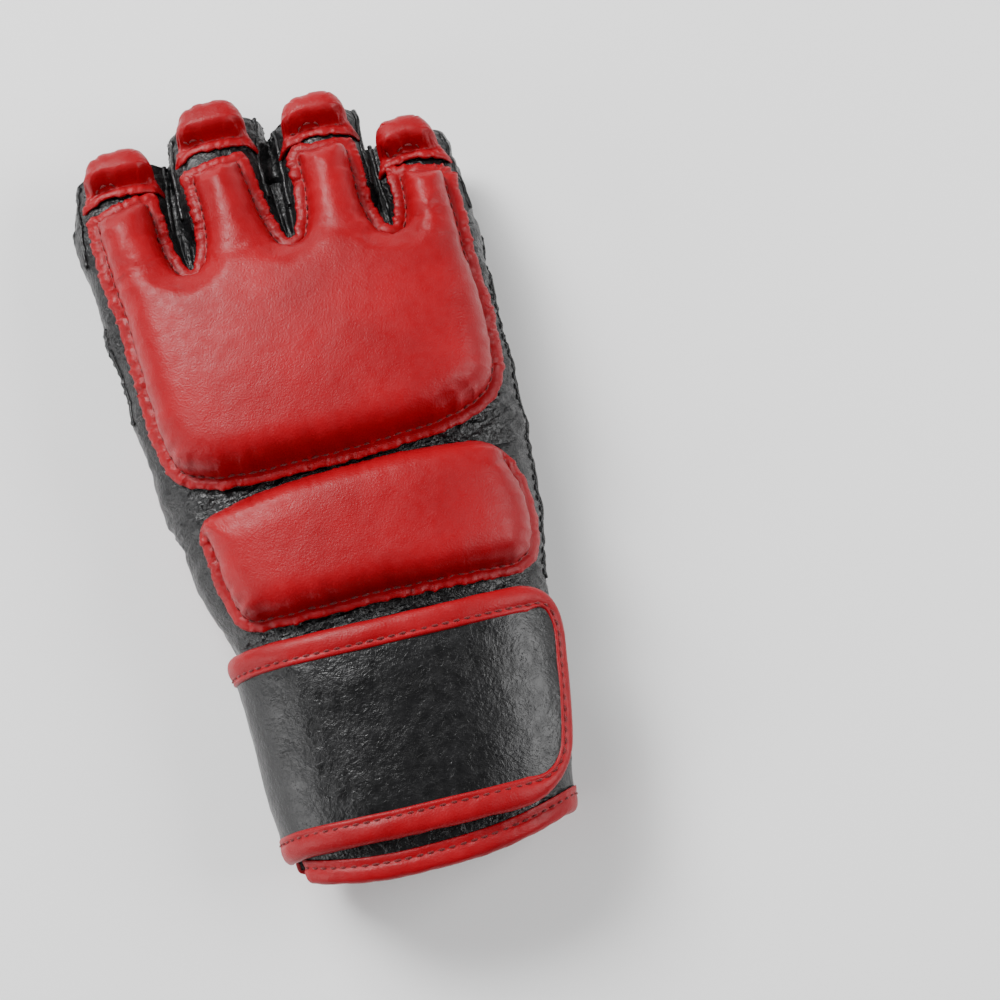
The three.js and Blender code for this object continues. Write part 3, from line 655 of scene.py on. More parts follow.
def thread(name, colour):
    """Twisted sewing thread, with painted shade darkening the grooves of its twist."""
    material, tree, shader = new_material(name, 0.6, specular=0.3, sheen=0.2)
    twist_and_groove_shade = texture(tree, "ShaderNodeTexWave", 0.9, bands_direction="DIAGONAL")
    dark = tuple(c * 0.55 for c in colour)
    # painted shade: the base colour darkens to 0.55 where the twist's bump is lowest, in its grooves
    tint(tree, shader.inputs["Base Color"], twist_and_groove_shade, (0.1, dark), (0.8, colour))
    bump(tree, shader, twist_and_groove_shade.outputs["Fac"], 0.15, 0.6)
    return material


RED = red_leather()
BLACK = black_leather("black_leather_skin", 0.4, 0.3)
STRAP_BLACK = black_leather("strap_leather_skin", 0.15, 0.16)
LINING = knit_fabric("lining_knit", (0.012, 0.010, 0.010), (0.03, 0.026, 0.026))
FUZZ = knit_fabric("hook_and_loop_pile", (0.01, 0.01, 0.011), (0.03, 0.03, 0.032))
RED_THREAD = thread("red_thread", (0.16, 0.0012, 0.003))
BLACK_THREAD = thread("black_thread", (0.03, 0.03, 0.032))


# ---- shell of the hand, cuff and fingers ----------------------------------------------------

def cuff_end(angle):
    """Where the cuff ends at each angle: its halves meet on the little-finger side."""
    back = CUFF_BACK["end"] + CUFF_BACK["side_rise"] * np.cos(np.radians(angle)) ** 2
    meeting = CUFF_BACK["end"] + CUFF_BACK["side_rise"]
    palm = CUFF_PALM["end"] + (meeting - CUFF_PALM["end"]) * smoothstep(angle, 325, 358)
    return np.where(np.asarray(angle) < 180, back, palm)


def glove_solid():
    """Hand, cuff and fingers as one smooth solid, remeshed evenly."""
    around = np.arange(0, 360, 4.0)
    y = np.arange(-128, HAND_END, 2.0)
    solids = [surface(around[None, :], y[:, None])]
    for finger in FINGERS:
        along = np.arange(-34, finger["reach"] + 8, 1.5)
        across, rise = finger_ring(finger, around)
        across = sleeve_side(across, around)
        if finger["name"] == "index":
            flare = INDEX_FLARE * hump(along, -6, 9)[:, None]
            across = across - flare * np.clip(-np.cos(np.radians(around)), 0, 1) ** 2
        shrink = (0.8 + 0.2 * smoothstep(along, -34, -18))[:, None]
        solids.append(finger_point(finger, across * shrink, rise * shrink, along[:, None]))
    parts = [make_object(f"solid{k}", rings.reshape(-1, 3), tube_faces(*rings.shape[:2]))
             for k, rings in enumerate(solids)]
    whole = join(parts, "hand_shell")
    remesh = whole.modifiers.new("Remesh", "REMESH")
    remesh.mode = "VOXEL"
    remesh.voxel_size = 1.35 * MM
    smooth = whole.modifiers.new("Smooth", "SMOOTH")
    smooth.factor = 0.5
    smooth.iterations = 9
    return apply_modifiers(whole)


def put_on(body, slot, *pieces):
    for piece in pieces:
        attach(piece, body)


def tree_of(obj):
    graph = bpy.context.evaluated_depsgraph_get()
    return BVHTree.FromObject(obj, graph)


def thumb_loop(step=1.0):
    edge = np.array(THUMB_EDGE, float)
    palm = np.column_stack([edge, side_height(edge[:, 0], edge[:, 1], -1)])
    back = surface(THUMB_BACK_ANGLE, np.array(THUMB_BACK, float), -0.5)
    return closed_curve(np.vstack([palm, back]), step)


def palm_loop(step=1.0):
    flat = closed_curve(PALM_OPENING, step)
    return np.column_stack([flat, side_height(flat[:, 0], flat[:, 1], -1)])


def thumb_plane(points):
    """The thumb opening as seen square-on."""
    return np.stack([points[:, 1], points[:, 0] * 0.7071 - points[:, 2] * 0.7071], -1)


def crease(points, normals):
    """How far leather stands off its smooth form: soft folds, bunching and fine creases."""
    y = points[:, 1]
    soft = 0.75 * noise_at(points, np.array([26, 15, 20]), 3)
    folds = noise_at(points, np.array([9, 4.2, 9]), 3, 5.0)
    folds = 0.55 * (1 - np.abs(folds) * 2.2) * smoothstep(noise_at(points, 30, 1, 9.0), -0.25, 0.4)
    strap_edge, pad_gap = -46, 1  # where the leather bunches
    waist = hump(y, strap_edge, 11) + 0.7 * hump(y, pad_gap, 7)
    finger_roots = smoothstep(y, 55, 88) * (normals[:, 2] < 0.3)
    bunch = 0.6 * (waist + finger_roots) * noise_at(points, np.array([14, 3.4, 14]), 2, 2.0)
    sides = 1 + 0.8 * smoothstep(np.abs(normals[:, 0]), 0.5, 0.9)
    calm = np.where(y < -54, 0.45, 1.0)  # the cuff lies flatter under the strap
    return (soft * sides + folds + bunch) * calm


def delete_faces(mesh, chosen):
    mesh.faces.ensure_lookup_table()
    faces = [mesh.faces[int(i)] for i in np.flatnonzero(chosen)]
    bmesh.ops.delete(mesh, geom=faces, context="FACES")


def cut_shell(shell):
    """Takes the openings out of the shell and cuts the finger tips."""
    mesh = bmesh.new()
    mesh.from_mesh(shell.data)
    for k, finger in enumerate(FINGERS):
        tip = finger_point(finger, 0, 0, finger["reach"])
        middle, lean = to_frame(tip), math.radians(TIP_SLOPE - TIP_CUT)
        normal = (finger["drift"], math.cos(lean), -math.sin(lean))
        centres = from_frame([f.calc_center_median() for f in mesh.faces])
        chosen = (centres[:, 1] > HAND_END + 3) & (sleeve_owner(centres) == k)
        mine = [f for f, yes in zip(mesh.faces, chosen) if yes]
        around = dict.fromkeys(part for f in mine for part in (*f.edges, *f.verts))  # keeps its order
        bmesh.ops.bisect_plane(
            mesh, geom=[*mine, *around], plane_co=middle, plane_no=normal, clear_outer=True
        )
    centres = from_frame([f.calc_center_median() for f in mesh.faces])
    facing = np.array([f.normal for f in mesh.faces])
    angle = section_angle(centres)
    palm = inside(centres[:, :2], palm_loop()[:, :2]) & (facing[:, 2] < 0) & (centres[:, 2] < 20)
    loop = thumb_loop()
    near = (centres - loop.mean(0)) @ THUMB_OUT > -THUMB_CUT_DEPTH
    thumb = near & inside(thumb_plane(centres), thumb_plane(loop))
    y = centres[:, 1]
    slit = (angle > CUFF_SLIT[0]) & (angle < CUFF_SLIT[1]) & (y < CUFF_SLIT_TOP)
    beyond = y < cuff_end(angle) + 1.6  # the hem's binding covers the rest
    delete_faces(mesh, palm | thumb | slit | beyond)
    mesh.to_mesh(shell.data)
    mesh.free()


def split_off(shell, name, chosen):
    """Moves the chosen faces of the shell to a new object."""
    part = add_object(name, shell.data.copy())
    for obj, keep in ((part, chosen), (shell, ~chosen)):
        mesh = bmesh.new()
        mesh.from_mesh(obj.data)
        delete_faces(mesh, ~keep)
        mesh.to_mesh(obj.data)
        mesh.free()
    return part


def make_shell(solid):
    """The leather shell, lined inside, with its finger sleeves as pieces of their own."""
    shell = subdivide(solid, 1)
    points, normals = coordinates(shell), vertex_normals(shell)
    points = points + normals * crease(points, normals)[:, None]
    points[:, 2] = np.maximum(points[:, 2], 0.05)
    set_coordinates(shell, points)
    skin = tree_of(shell)
    cut_shell(shell)
    shell.data.materials.append(BLACK)
    shell.data.materials.append(LINING)
    solidify = shell.modifiers.new("Solidify", "SOLIDIFY")
    solidify.thickness = SHELL * MM
    solidify.offset = -1
    solidify.material_offset = 1
    solidify.material_offset_rim = 0
    apply_modifiers(shell)
    for k, finger in enumerate(FINGERS):
        name = finger["name"]
        chosen = sleeve_owner(from_frame(vectors(shell.data.polygons, "center"))) == k
        sleeve = split_off(shell, f"{name}_sleeve", chosen)
        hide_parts(f"{name}_root_sleeve", f"{name}_fold_gusset", f"{name}_tip_sleeve")
        finish_finger(sleeve, finger)
    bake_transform(shell)
    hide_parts("back_shell", "palm_panel", "heel_panel", "wrist_gusset_back",
                "wrist_gusset_palm", "cuff_back_panel", "cuff_palm_panel")
    return skin


def on_skin(skin, line):
    """A line's nearest points on the leather, and the outward directions there."""
    found = [skin.find_nearest(Vector(p)) for p in to_frame(line)]
    places = from_frame([f[0] for f in found])
    normals = np.array([f[1] for f in found])
    for _ in range(2):
        normals = unit(normals + np.roll(normals, 1, axis=0) + np.roll(normals, -1, axis=0))
    return places, normals


def finish_finger(piece, finger):
    """Bakes the transform of a finger piece, which runs over the hand up to the fold of a finger and the
    finger past it.
    """
    start = to_frame(finger_point(finger, 0, 0, -BLEND_HALF))
    end = to_frame(finger_point(finger, 0, 0, BLEND_HALF))
    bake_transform(piece)


# ---- pads -----------------------------------------------------------------------------------

class PadBase:
    """What the pads lie on: the leather back, bridged smoothly between the finger sleeves."""

    def __init__(self, solid):
        self.tree = tree_of(solid)

    def height(self, x, y):
        hand = side_height(x, y, 1)
        hit = np.empty(len(x))
        above = np.full(len(x), 100.0)
        starts = to_frame(np.stack([x, y, above], -1))
        for k, start in enumerate(starts):
            found = self.tree.ray_cast(Vector(start), Vector((0, 0, -1)))[0]
            hit[k] = found.z / MM if found else -1e3  # far below: no leather there
        bridge, gap = 4.0, 0.7  # how softly the higher of the two takes over, and air under the pad
        return 0.5 * (hand + hit + np.sqrt((hand - hit) ** 2 + bridge)) + gap

    def place(self, xy, height):
        """Points at heights above the back, leaning a little with its slope."""
        x, y = xy[:, 0], xy[:, 1]
        z = self.height(x, y)
        reach = 1.5
        slope_x = (self.height(x + reach, y) - self.height(x - reach, y)) / (2 * reach)
        slope_y = (self.height(x, y + reach) - self.height(x, y - reach)) / (2 * reach)
        lean = unit(np.stack([-0.4 * slope_x, -0.25 * slope_y, np.ones_like(x)], -1))
        return np.stack([x, y, z], -1) + lean * np.asarray(height)[:, None]


def finger_place(finger):
    """Points over the back of a finger tip: xy is across and along it."""
    def place(xy, height):
        lean = 0.35 * xy[:, 0] / (finger["width"] / 2)
        rise = sleeve_rise(finger, xy[:, 0]) * 0.82 + finger["height"] * 0.09 + 0.3
        return finger_point(finger, xy[:, 0] + lean * height, rise + height, xy[:, 1])
    return place


def pad_plan(outline, spacing, hem):
    """Triangulated plan of a pad: rings follow its hem, and even points fill the middle."""
    depths = [d * hem for d in (0.3, 0.6, 0.85, 1.0, 1.15, 1.4, 1.75, 2.2, 2.7)]
    rings = [inset_line(outline, d) for d in depths]
    low, high = outline.min(0), outline.max(0)
    xs = np.arange(low[0], high[0], spacing)
    ys = np.arange(low[1], high[1], spacing * 0.866)
    grid = np.array([(x + (k % 2) * spacing / 2, y) for k, y in enumerate(ys) for x in xs])
    distance, _ = edge_distance(grid, outline)
    grid = grid[inside(grid, outline) & (distance > depths[-1] + 0.6 * spacing)]
    points = np.vstack([outline, *rings, grid])
    edges = [(k, (k + 1) % len(outline)) for k in range(len(outline))]
    made, _, faces, *_ = delaunay_2d_cdt([Vector(p) for p in points], edges, [], 1, 1e-4)
    return np.array(made), np.array(faces)


def edge_room(xy, outline, spec):
    """Distance inside an outline, counted deeper where the hem is tucked under the pad."""
    distance, around = edge_distance(xy, outline)
    low, high, tuck = spec["tuck"]
    return distance + tuck * smoothstep(xy[:, 1], low, high), around


def ragged(outline, spec):
    """The outline with the uneven edge of gathered leather."""
    place = np.arange(len(outline)) * np.linalg.norm(outline[1] - outline[0])
    along = line_directions(outline, True)
    out = np.stack([along[:, 1], -along[:, 0]], -1)
    low, high, tuck = spec["tuck"]
    share = 1 - smoothstep(outline[:, 1], low, high) * min(tuck, 1)
    uneven = 0.42 * wave_noise(place, 3.2, 21.0) + 0.5 * wave_noise(place, 1.4, 5.0)
    return outline + out * (spec["rag"] * uneven * share)[:, None]


def dome_height(distance, spec):
    """Height of a pad over its base, from the distance inside its outline."""
    hem, flat = spec["hem"], spec["hem_height"]
    t = np.clip((distance - hem) / spec["shoulder"], 0, 1)
    dome = flat + (spec["thickness"] - flat) * (1 - (1 - t) ** 2.3) ** (1 / 2.3)
    groove = 0.6 * hump(distance, hem * 0.93, 0.55)
    edge = 0.45 * np.exp(-distance / 0.35)
    return dome - groove - edge


def hem_ruffle(distance, place, spec):
    """Waves of a gathered hem."""
    share = np.clip(1 - distance / (spec["hem"] * 1.15), 0, 1)
    pitch = spec["gather"]
    folds = 1 - 2.6 * np.abs(wave_noise(place, pitch * 0.8, 1.3))
    waves = folds * (0.55 + 0.8 * wave_noise(place, 13, 4.2)) + 0.7 * wave_noise(place, 5.5, 7.7)
    return spec["ruffle"] * share * waves + 0.35 * spec["ruffle"] * share * wave_noise(place, 1.2, 9.1)


def start_pad(name, outline, place, spec):
    """The pad's closed body before it is filled."""
    outline = ragged(anticlockwise(outline), spec)
    plan, faces = pad_plan(outline, spec["spacing"], spec["hem"])
    distance, _ = edge_room(plan, outline, spec)
    shape = dict(spec, outline=outline)
    top = place(plan, dome_height(distance, spec) * (1 - spec["slack"] * (distance > spec["hem"])))
    bottom = place(plan, np.zeros(len(plan)) - 0.2 * (distance > 0.2))
    count = len(plan)
    rim = {}  # how many faces run along each edge in each direction
    edges = np.vstack([faces[:, [0, 1]], faces[:, [1, 2]], faces[:, [2, 0]]])
    for a, b in edges:
        rim[(a, b)] = rim.get((a, b), 0) + 1
    walls = [(a, b, b + count, a + count) for a, b in rim if (b, a) not in rim]
    body = [*faces.tolist(), *(faces[:, ::-1] + count).tolist(), *walls]
    obj = make_object(name, np.vstack([top, bottom]), body, RED)
    at_rim = edge_distance(plan, outline)[0] < 0.5
    pinned = np.concatenate([at_rim | (distance < spec["hem"] * 1.1), np.ones(count, bool)])
    return dict(obj=obj, pinned=pinned, plan=plan, distance=distance, place=place, shape=shape)


def even_out(moved, obj, pinned, rounds=14):
    """Averages the swelling between neighbouring points, so that foam-backed skin stays taut."""
    edges = np.empty(len(obj.data.edges) * 2, np.int32)
    obj.data.edges.foreach_get("vertices", edges)
    a, b = edges.reshape(-1, 2).T
    neighbours = np.bincount(np.concatenate([a, b]), minlength=len(moved))[:, None]
    for _ in range(rounds):
        total = np.zeros_like(moved)
        np.add.at(total, a, moved[b])
        np.add.at(total, b, moved[a])
        moved = np.where(pinned[:, None], moved, 0.4 * moved + 0.6 * total / neighbours)
    return moved


def fill_pads(pads, frames=14, cap=2.6):
    """Settles the pads by cloth simulation, with their hems held down.

    Their skin is so stiff that it moves less than 0.1 mm: the pads' form comes from dome_height.
    """
    scene = bpy.context.scene
    starts = []
    for pad in pads:
        obj = pad["obj"]
        starts.append(coordinates(obj))
        group = obj.vertex_groups.new(name="held")
        group.add([int(i) for i in np.flatnonzero(pad["pinned"])], 1.0, "REPLACE")
        cloth = obj.modifiers.new("Cloth", "CLOTH")
        cloth.settings.quality = 6
        cloth.settings.mass = 0.25
        cloth.settings.tension_stiffness = cloth.settings.compression_stiffness = 22
        cloth.settings.shear_stiffness = 12
        cloth.settings.bending_stiffness = 8
        cloth.settings.use_pressure = True
        cloth.settings.uniform_pressure_force = pad["shape"]["pressure"]
        cloth.settings.shrink_min = 0.0
        cloth.settings.effector_weights.gravity = 0
        cloth.settings.vertex_group_mass = "held"
        cloth.collision_settings.use_collision = False
        cloth.point_cache.frame_end = frames
    for step in range(1, frames + 1):
        scene.frame_set(step)
    graph = bpy.context.evaluated_depsgraph_get()
    for pad, start in zip(pads, starts):
        obj = pad["obj"]
        moved = coordinates(obj.evaluated_get(graph)) - start
        length = np.linalg.norm(moved, axis=1, keepdims=True)
        moved *= np.minimum(1, cap / np.maximum(length, 1e-6))
        moved = even_out(moved, obj, pad["pinned"])
        obj.modifiers.clear()
        obj.vertex_groups.clear()
        set_coordinates(obj, start + moved)
    scene.frame_set(1)


def finish_pad(pad, body, creases=None):
    """Gathers the hem, creases the skin, sews the seam and puts the pad on its body."""
    obj, spec = pad["obj"], pad["shape"]
    subdivide(obj, 1)
    points, normals = coordinates(obj), vertex_normals(obj)
    xy = unplace(points, pad)
    distance, around = edge_room(xy, spec["outline"], spec)
    upper = smoothstep(normals[:, 2], -0.1, 0.3)
    lift = hem_ruffle(distance, around, spec)
    puckers = np.clip(wave_noise(around, 1.9, 11.3) + 0.15, 0, 1)
    puckers = puckers * (0.6 + 0.6 * wave_noise(around, 12, 2.9))
    lift -= spec["pucker"] * puckers * hump(distance, spec["hem"] * 1.3, spec["hem"] * 0.9)
    lift += 0.10 * noise_at(points, 7.0, 3)
    if creases:
        lift -= creases(xy, distance)
    points = points + normals * (lift * upper)[:, None]
    set_coordinates(obj, points)
    line = resample(inset_line(spec["outline"], spec["hem"] * 0.92), 0.8, True)
    away, round_at = edge_room(line, spec["outline"], spec)
    height = dome_height(away, spec) + hem_ruffle(away, round_at, spec) + 0.12
    path = pad["place"](line, height)
    higher = pad["place"](line, height + 1)
    shown = away < spec["hem"] * 1.1
    sewing = stitch_row(f"{obj.name}_stitches", path, unit(higher - path), True, RED_THREAD, shown)
    put_on(body, "red_leather", obj, sewing)
    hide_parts(f"{obj.name}_cover", f"{obj.name}_foam")


def unplace(points, pad):
    """The plan positions of a pad's points, from the nearest points of its plan."""
    table = pad["plan"]
    top = pad["place"](table, dome_height(pad["distance"], pad["shape"]))
    bottom = pad["place"](table, np.zeros(len(table)))
    kd = KDTree(2 * len(table))
    for k, p in enumerate(np.vstack([top, bottom])):
        kd.insert(p, k)
    kd.balance()
    result = np.empty((len(points), 2))
    for i, p in enumerate(points):
        near = kd.find_n(p, 3)
        weights = [1 / (d + 0.05) for _, _, d in near]
        result[i] = sum(w * table[k % len(table)] for w, (_, k, _) in zip(weights, near)) / sum(weights)
    return result


def knuckle_corners():
    """Outline of the four-lobed knuckle pad."""
    corners = [(-56.6, 60, 25), (-58.6, 88, 8), (-59.6, 103.5, 3.5), (-35.4, 108.4, 3.5)]
    tops = [(-26.6, 111.0), (-5.2, 113.6), (7.4, 110.2), (29.6, 109.6), (35.6, 96.4), (56.8, 91.6)]
    for k, slot in enumerate(SLOTS):
        x, half, bottom = slot["x"], slot["half"], slot["bottom"]
        corners += [(x - half, bottom + 11, 7), (x, bottom - 1.8, 5.5), (x + half, bottom + 11, 7)]
        corners += [(*tops[2 * k], 3.5), (*tops[2 * k + 1], 3.5)]
    corners += [(56.6, 62, 20), (57.3, 38, 20), (55, 16, 14), (40, 6.2, 14), (0, 3.4, 30)]
    corners += [(-36, 5.2, 13), (-52, 11, 13), (-55.4, 27, 12)]
    return corners


WRIST_CORNERS = [
    (-48, -1.5, 6), (-26, 2.2, 15), (0, 2.9, 15), (26, 2.6, 15), (46, 0.4, 9), (53.6, -12, 12),
    (53, -33, 10), (46.5, -42.2, 9), (-42.5, -39.4, 8), (-47, -22, 10),
]


def knuckle_creases(xy, distance):
    """Creases that fan from the slots, and a faint valley between the lobes and the pad."""
    total = np.zeros(len(xy))
    for slot in SLOTS:
        away = xy - np.array([slot["x"], slot["bottom"] + 1])
        reach = np.hypot(away[:, 0], away[:, 1])
        turn = np.arctan2(away[:, 1], away[:, 0])
        rays = np.clip(np.cos(turn * 11 + 1.3 * np.sin(turn * 3 + slot["x"])), 0, 1) ** 2
        fan = hump(reach, 7.5, 4.0) * (turn < 0.15)
        total += 0.5 * rays * fan
    bottoms = [(-62, 80), *((s["x"], s["bottom"] - 3) for s in SLOTS), (62, 72)]
    line = np.interp(xy[:, 0], [b[0] for b in bottoms], [b[1] for b in bottoms])
    sag = 2.5 * np.sin(xy[:, 0] / 31 * math.pi + 0.4) ** 2
    valley = hump(xy[:, 1] - line, sag, 3.2) * smoothstep(distance, 3, 8)
    return total + 0.9 * valley


def make_back_pads(base):
    """Starts the knuckle pad and the wrist pad."""
    knuckle = dict(hem=3.9, hem_height=1.25, thickness=14.0, shoulder=10.5, spacing=2.1, slack=0.1,
                   gather=2.7, ruffle=0.95, pucker=0.8, pressure=3.5, rag=1.0, tuck=(200, 210, 0))
    wrist = dict(hem=3.4, hem_height=1.2, thickness=12.0, shoulder=9.0, spacing=2.1, slack=0.1,
                 gather=3.0, ruffle=0.9, pucker=0.7, pressure=3.5, rag=1.0, tuck=(-9, -3, 2.6))
    return [
        start_pad("knuckle_pad", rounded_outline(knuckle_corners(), 1.1), base.place, knuckle),
        start_pad("wrist_pad", rounded_outline(WRIST_CORNERS, 1.1), base.place, wrist),
    ]


def make_finger_pads():
    """Starts the four finger pads, whose hems end in pointed ears."""
    spec = dict(hem=3.2, hem_height=1.2, thickness=8.8, shoulder=7.0, spacing=1.5, slack=0.1,
                gather=2.2, ruffle=1.0, pucker=0.9, pressure=3.0, rag=1.1, tuck=(4.5, 8.5, 3.0))
    pads = []
    for finger in FINGERS:
        half, reach = finger["width"] / 2 - 1.2, finger["reach"] + 1.8
        right = [(half + 1.8, 1.6, 0.8), (half - 1.2, 5.4, 2), (half - 1.4, reach * 0.6, 6)]
        right += [(half * 0.6, reach, 7)]
        left = [(-x, y, r) for x, y, r in reversed(right)]
        outline = rounded_outline([*right, *left, (0, 2.4, 8)], 0.9)
        pads.append(start_pad(f"{finger['name']}_pad", outline, finger_place(finger), spec))
    return pads


# ---- bindings and seams ---------------------------------------------------------------------

BINDING_PROFILE = [  # across the edge from the opening outwards, and height, in widths
    (-0.50, -0.62), (-0.56, -0.30), (-0.55, 0.02), (-0.47, 0.24), (-0.32, 0.33), (-0.16, 0.31),
    (0.0, 0.25), (0.16, 0.22), (0.28, 0.15), (0.36, 0.20), (0.46, 0.18), (0.5, 0.06), (0.5, -0.14),
    (0.2, -0.2), (-0.2, -0.62),
]


def edge_binding(name, line, across, normals, width):
    """Leather binding rolled over a closed edge, with its flat part and seam on the outside."""
    total = distances_along(line)
    lines = []
    for a, b in BINDING_PROFILE:
        wobble = 0.045 * wave_noise(total, 4.5, a * 2) + 0.03 * wave_noise(total, 1.6, 5 + b)
        wobble *= smoothstep(total, 0, 4) * smoothstep(total[-1] - total, 0, 4)
        lines.append(line + across * ((a + wobble) * width)[:, None]
                     + normals * ((b + (b > 0) * wobble) * width)[:, None])
    return subdivide(sweep(name, lines, True, RED), 1)


def opening_rim(part, loop, facing, out, width, seam, lift):
    """Binding and stitches of an opening in the hand's leather."""
    out = out * np.sign(np.sum(out * (loop - loop.mean(0)), axis=1).sum())
    rim = edge_binding(f"{part}_opening_rim", loop, out, facing, width)
    line = loop + out * seam + facing * lift
    sewing = stitch_row(f"{part}_opening_stitches", line, facing, True, RED_THREAD)
    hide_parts(f"{part}_opening_binding")
    put_on("hand", "red_leather", rim, sewing)


def make_openings():
    """Red bindings of the palm opening and the thumb opening."""
    loop = palm_loop(1.2)
    facing = np.tile([0.0, 0, -1], (len(loop), 1))
    out = np.cross(line_directions(loop, True), facing)
    opening_rim("palm", loop, facing, out, width=6.2, seam=1.75, lift=0.75)
    loop = thumb_loop(1.2)
    facing = unit(np.tile(THUMB_OUT, (len(loop), 1)) + 0.5 * unit(loop - loop.mean(0)) * [1, 0, 1])
    out = unit(np.cross(line_directions(loop, True), facing))
    opening_rim("thumb", loop, facing, out, width=5.8, seam=1.62, lift=0.7)


def cuff_hem(name, angles, hem, node):
    """Binding folded round the cuff's lower edge: outer and inner leg, with a round fold."""
    profile = [(hem, 0.5), (hem - 0.2, 1.1), (hem - 2.2, 1.0), (hem - 2.7, 0.75), (hem - 3.4, 1.15),
               (4, 1.35), (2, 1.3), (0.6, 0.8), (0, -0.6), (0.2, -2.0), (1.2, -3.0), (4, -3.1),
               (hem, -2.9), (hem, -1.9), (4, -1.8), (4, -0.1)]
    end = cuff_end(angles)
    arc = distances_along(surface(angles, end))
    lines = []
    for s, o in profile:
        wobble = 0.35 * wave_noise(arc, 5.0, s) + 0.18 * wave_noise(arc, 1.7, 3 + o)
        place = surface(angles, end + s + wobble * (s < 1), float(o))
        lines.append(place + outward(angles, end) * (wobble * (o > 0))[:, None])
    hem_piece = subdivide(sweep(name, lines, False, RED), 1)
    seam = surface(angles, end + hem - 2.7, 0.85)
    sewing = stitch_row(f"{name}_stitches", seam, outward(angles, end), False, RED_THREAD)
    put_on("cuff", "red_leather", hem_piece, sewing)
    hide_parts(node)


def make_cuff_hems():
    angles = np.linspace(0.5, CUFF_SLIT[0], 110)
    cuff_hem("cuff_hem_back", angles, CUFF_BACK["hem"], "cuff_back_hem")
    angles = np.linspace(181, 360.4, 120)
    cuff_hem("cuff_hem_palm", angles, CUFF_PALM["hem"], "cuff_palm_hem")


# ---- strap ----------------------------------------------------------------------------------

def strap_arc():
    """Distance round the cuff from the strap's root, against the angle."""
    angles = np.linspace(STRAP["root"], STRAP["end"], 400)
    points = strap_surface(angles, np.full(400, float(STRAP_MIDDLE)), 0)
    return distances_along(points), angles


def strap_surface(angles, y, above):
    """Points over the cuff: the strap lies on its patches, and comes down to its root."""
    root, over_patch = 0.35, 3.05
    height = over_patch + (root - over_patch) * smoothstep(angles, 90, 170)
    climb = STRAP_CLIMB * smoothstep(angles, 70, 150)
    return surface(angles, y + climb, height + above)


STRAP_ARC = strap_arc()
STRAP_LENGTH = float(STRAP_ARC[0][-1])


def strap_point(w, y, above):
    """Points of the strap: w is the distance from its root towards its free end."""
    return strap_surface(np.interp(w, *STRAP_ARC), y, above)


def strap_end(y, inset=0.0):
    """Where the strap ends at each y, with its slanted and rounded end."""
    round_off = STRAP_ROUND - inset
    top, bottom = STRAP["top"] - inset, STRAP["bottom"] + inset
    depth = np.maximum(np.maximum(round_off - (top - y), round_off - (y - bottom)), 0)
    cut = round_off - np.sqrt(np.maximum(round_off**2 - depth**2, 0))
    return STRAP_LENGTH - inset - STRAP_SLANT * (STRAP["top"] - y) - cut


def strap_outline():
    """Edge of the strap from its root along the top, round the end and back along the bottom."""
    y = np.concatenate([STRAP["top"] - STRAP_ROUND * (1 - np.cos(np.linspace(0, math.pi / 2, 16))),
                        np.linspace(STRAP["top"] - STRAP_ROUND, STRAP["bottom"] + STRAP_ROUND, 12)[1:-1],
                        STRAP["bottom"] + STRAP_ROUND * (1 - np.sin(np.linspace(0, math.pi / 2, 16)))])
    end = np.stack([strap_end(y), y], -1)
    line = np.vstack([[0, STRAP["top"]], end, [0, STRAP["bottom"]]])
    return resample(line, 1.2, False)


def strap_blend(piece):
    """Bakes a strap piece's transform into its mesh."""
    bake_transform(piece)


def make_strap():
    thick, binding, rim = STRAP["thickness"], STRAP["binding"], STRAP["rim"]
    rows = np.linspace(STRAP["bottom"] + binding - 1.5, STRAP["top"] - binding + 1.5, 44)
    shares = np.linspace(0, 1, 96)
    y = np.repeat(rows[:, None], len(shares), 1)
    w = shares[None, :] * (strap_end(y, rim - 1.5))
    cushion = thick + 0.5 * (1 - np.abs(np.linspace(-1, 1, len(rows))) ** 4)[:, None] + 0 * w
    flat = strap_point(w, y, cushion).reshape(-1, 3)
    lift = 0.3 * noise_at(flat, np.array([16, 22, 16]), 3) + 0.12 * noise_at(flat, 4.0, 2, 3.0)
    top = strap_point(w, y, cushion + lift.reshape(w.shape))
    under = strap_point(shares[None, :] * strap_end(y, 1.2), y, 0.15)
    field = slab("strap_field", top, under, STRAP_BLACK)

    line = strap_outline()
    along = line_directions(line, False)
    inward = np.stack([along[:, 1], -along[:, 0]], -1)
    inward *= np.sign(np.sum(inward * (np.array([STRAP_LENGTH / 2, STRAP_MIDDLE]) - line), axis=1).sum())
    turn = np.abs(inward[:, 0])
    width = binding + (rim - binding) * smoothstep(turn, 0.15, 0.85)
    total = distances_along(line)
    profile = [(1.0, 2.3), (1.0, 3.1), (0.93, 3.5), (0.84, 3.45), (0.77, 3.15), (0.7, 3.55), (0.5, 3.8),
               (0.3, 3.7), (0.14, 3.2), (0.04, 2.4), (0.0, 1.5), (0.05, 0.6), (0.2, 0.1), (0.6, 0.0),
               (1.0, 0.05)]
    lines = []
    for a, b in profile:
        wobble = 0.25 * wave_noise(total, 6, a * 3) + 0.14 * wave_noise(total, 1.8, 4 + b)
        at = line + inward * (a * width + wobble * (a < 0.9))[:, None]
        lines.append(strap_point(at[:, 0], at[:, 1], b + wobble * (b > 1)))
    rim_piece = subdivide(sweep("strap_binding", lines, False, RED), 1)
    at = line + inward * (width * 0.77)[:, None]
    seam = strap_point(at[:, 0], at[:, 1], 3.3)
    up = unit(strap_point(at[:, 0], at[:, 1], 4.3) - seam)
    sewing = stitch_row("strap_stitches", seam, up, False, RED_THREAD)

    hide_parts("strap_panel", "strap_tip_panel")
    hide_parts("strap_upper_binding", "strap_lower_binding", "strap_tip_binding")
    for piece, slot in ((field, "black_leather"), (rim_piece, "red_leather"), (sewing, "red_leather")):
        strap_blend(piece)


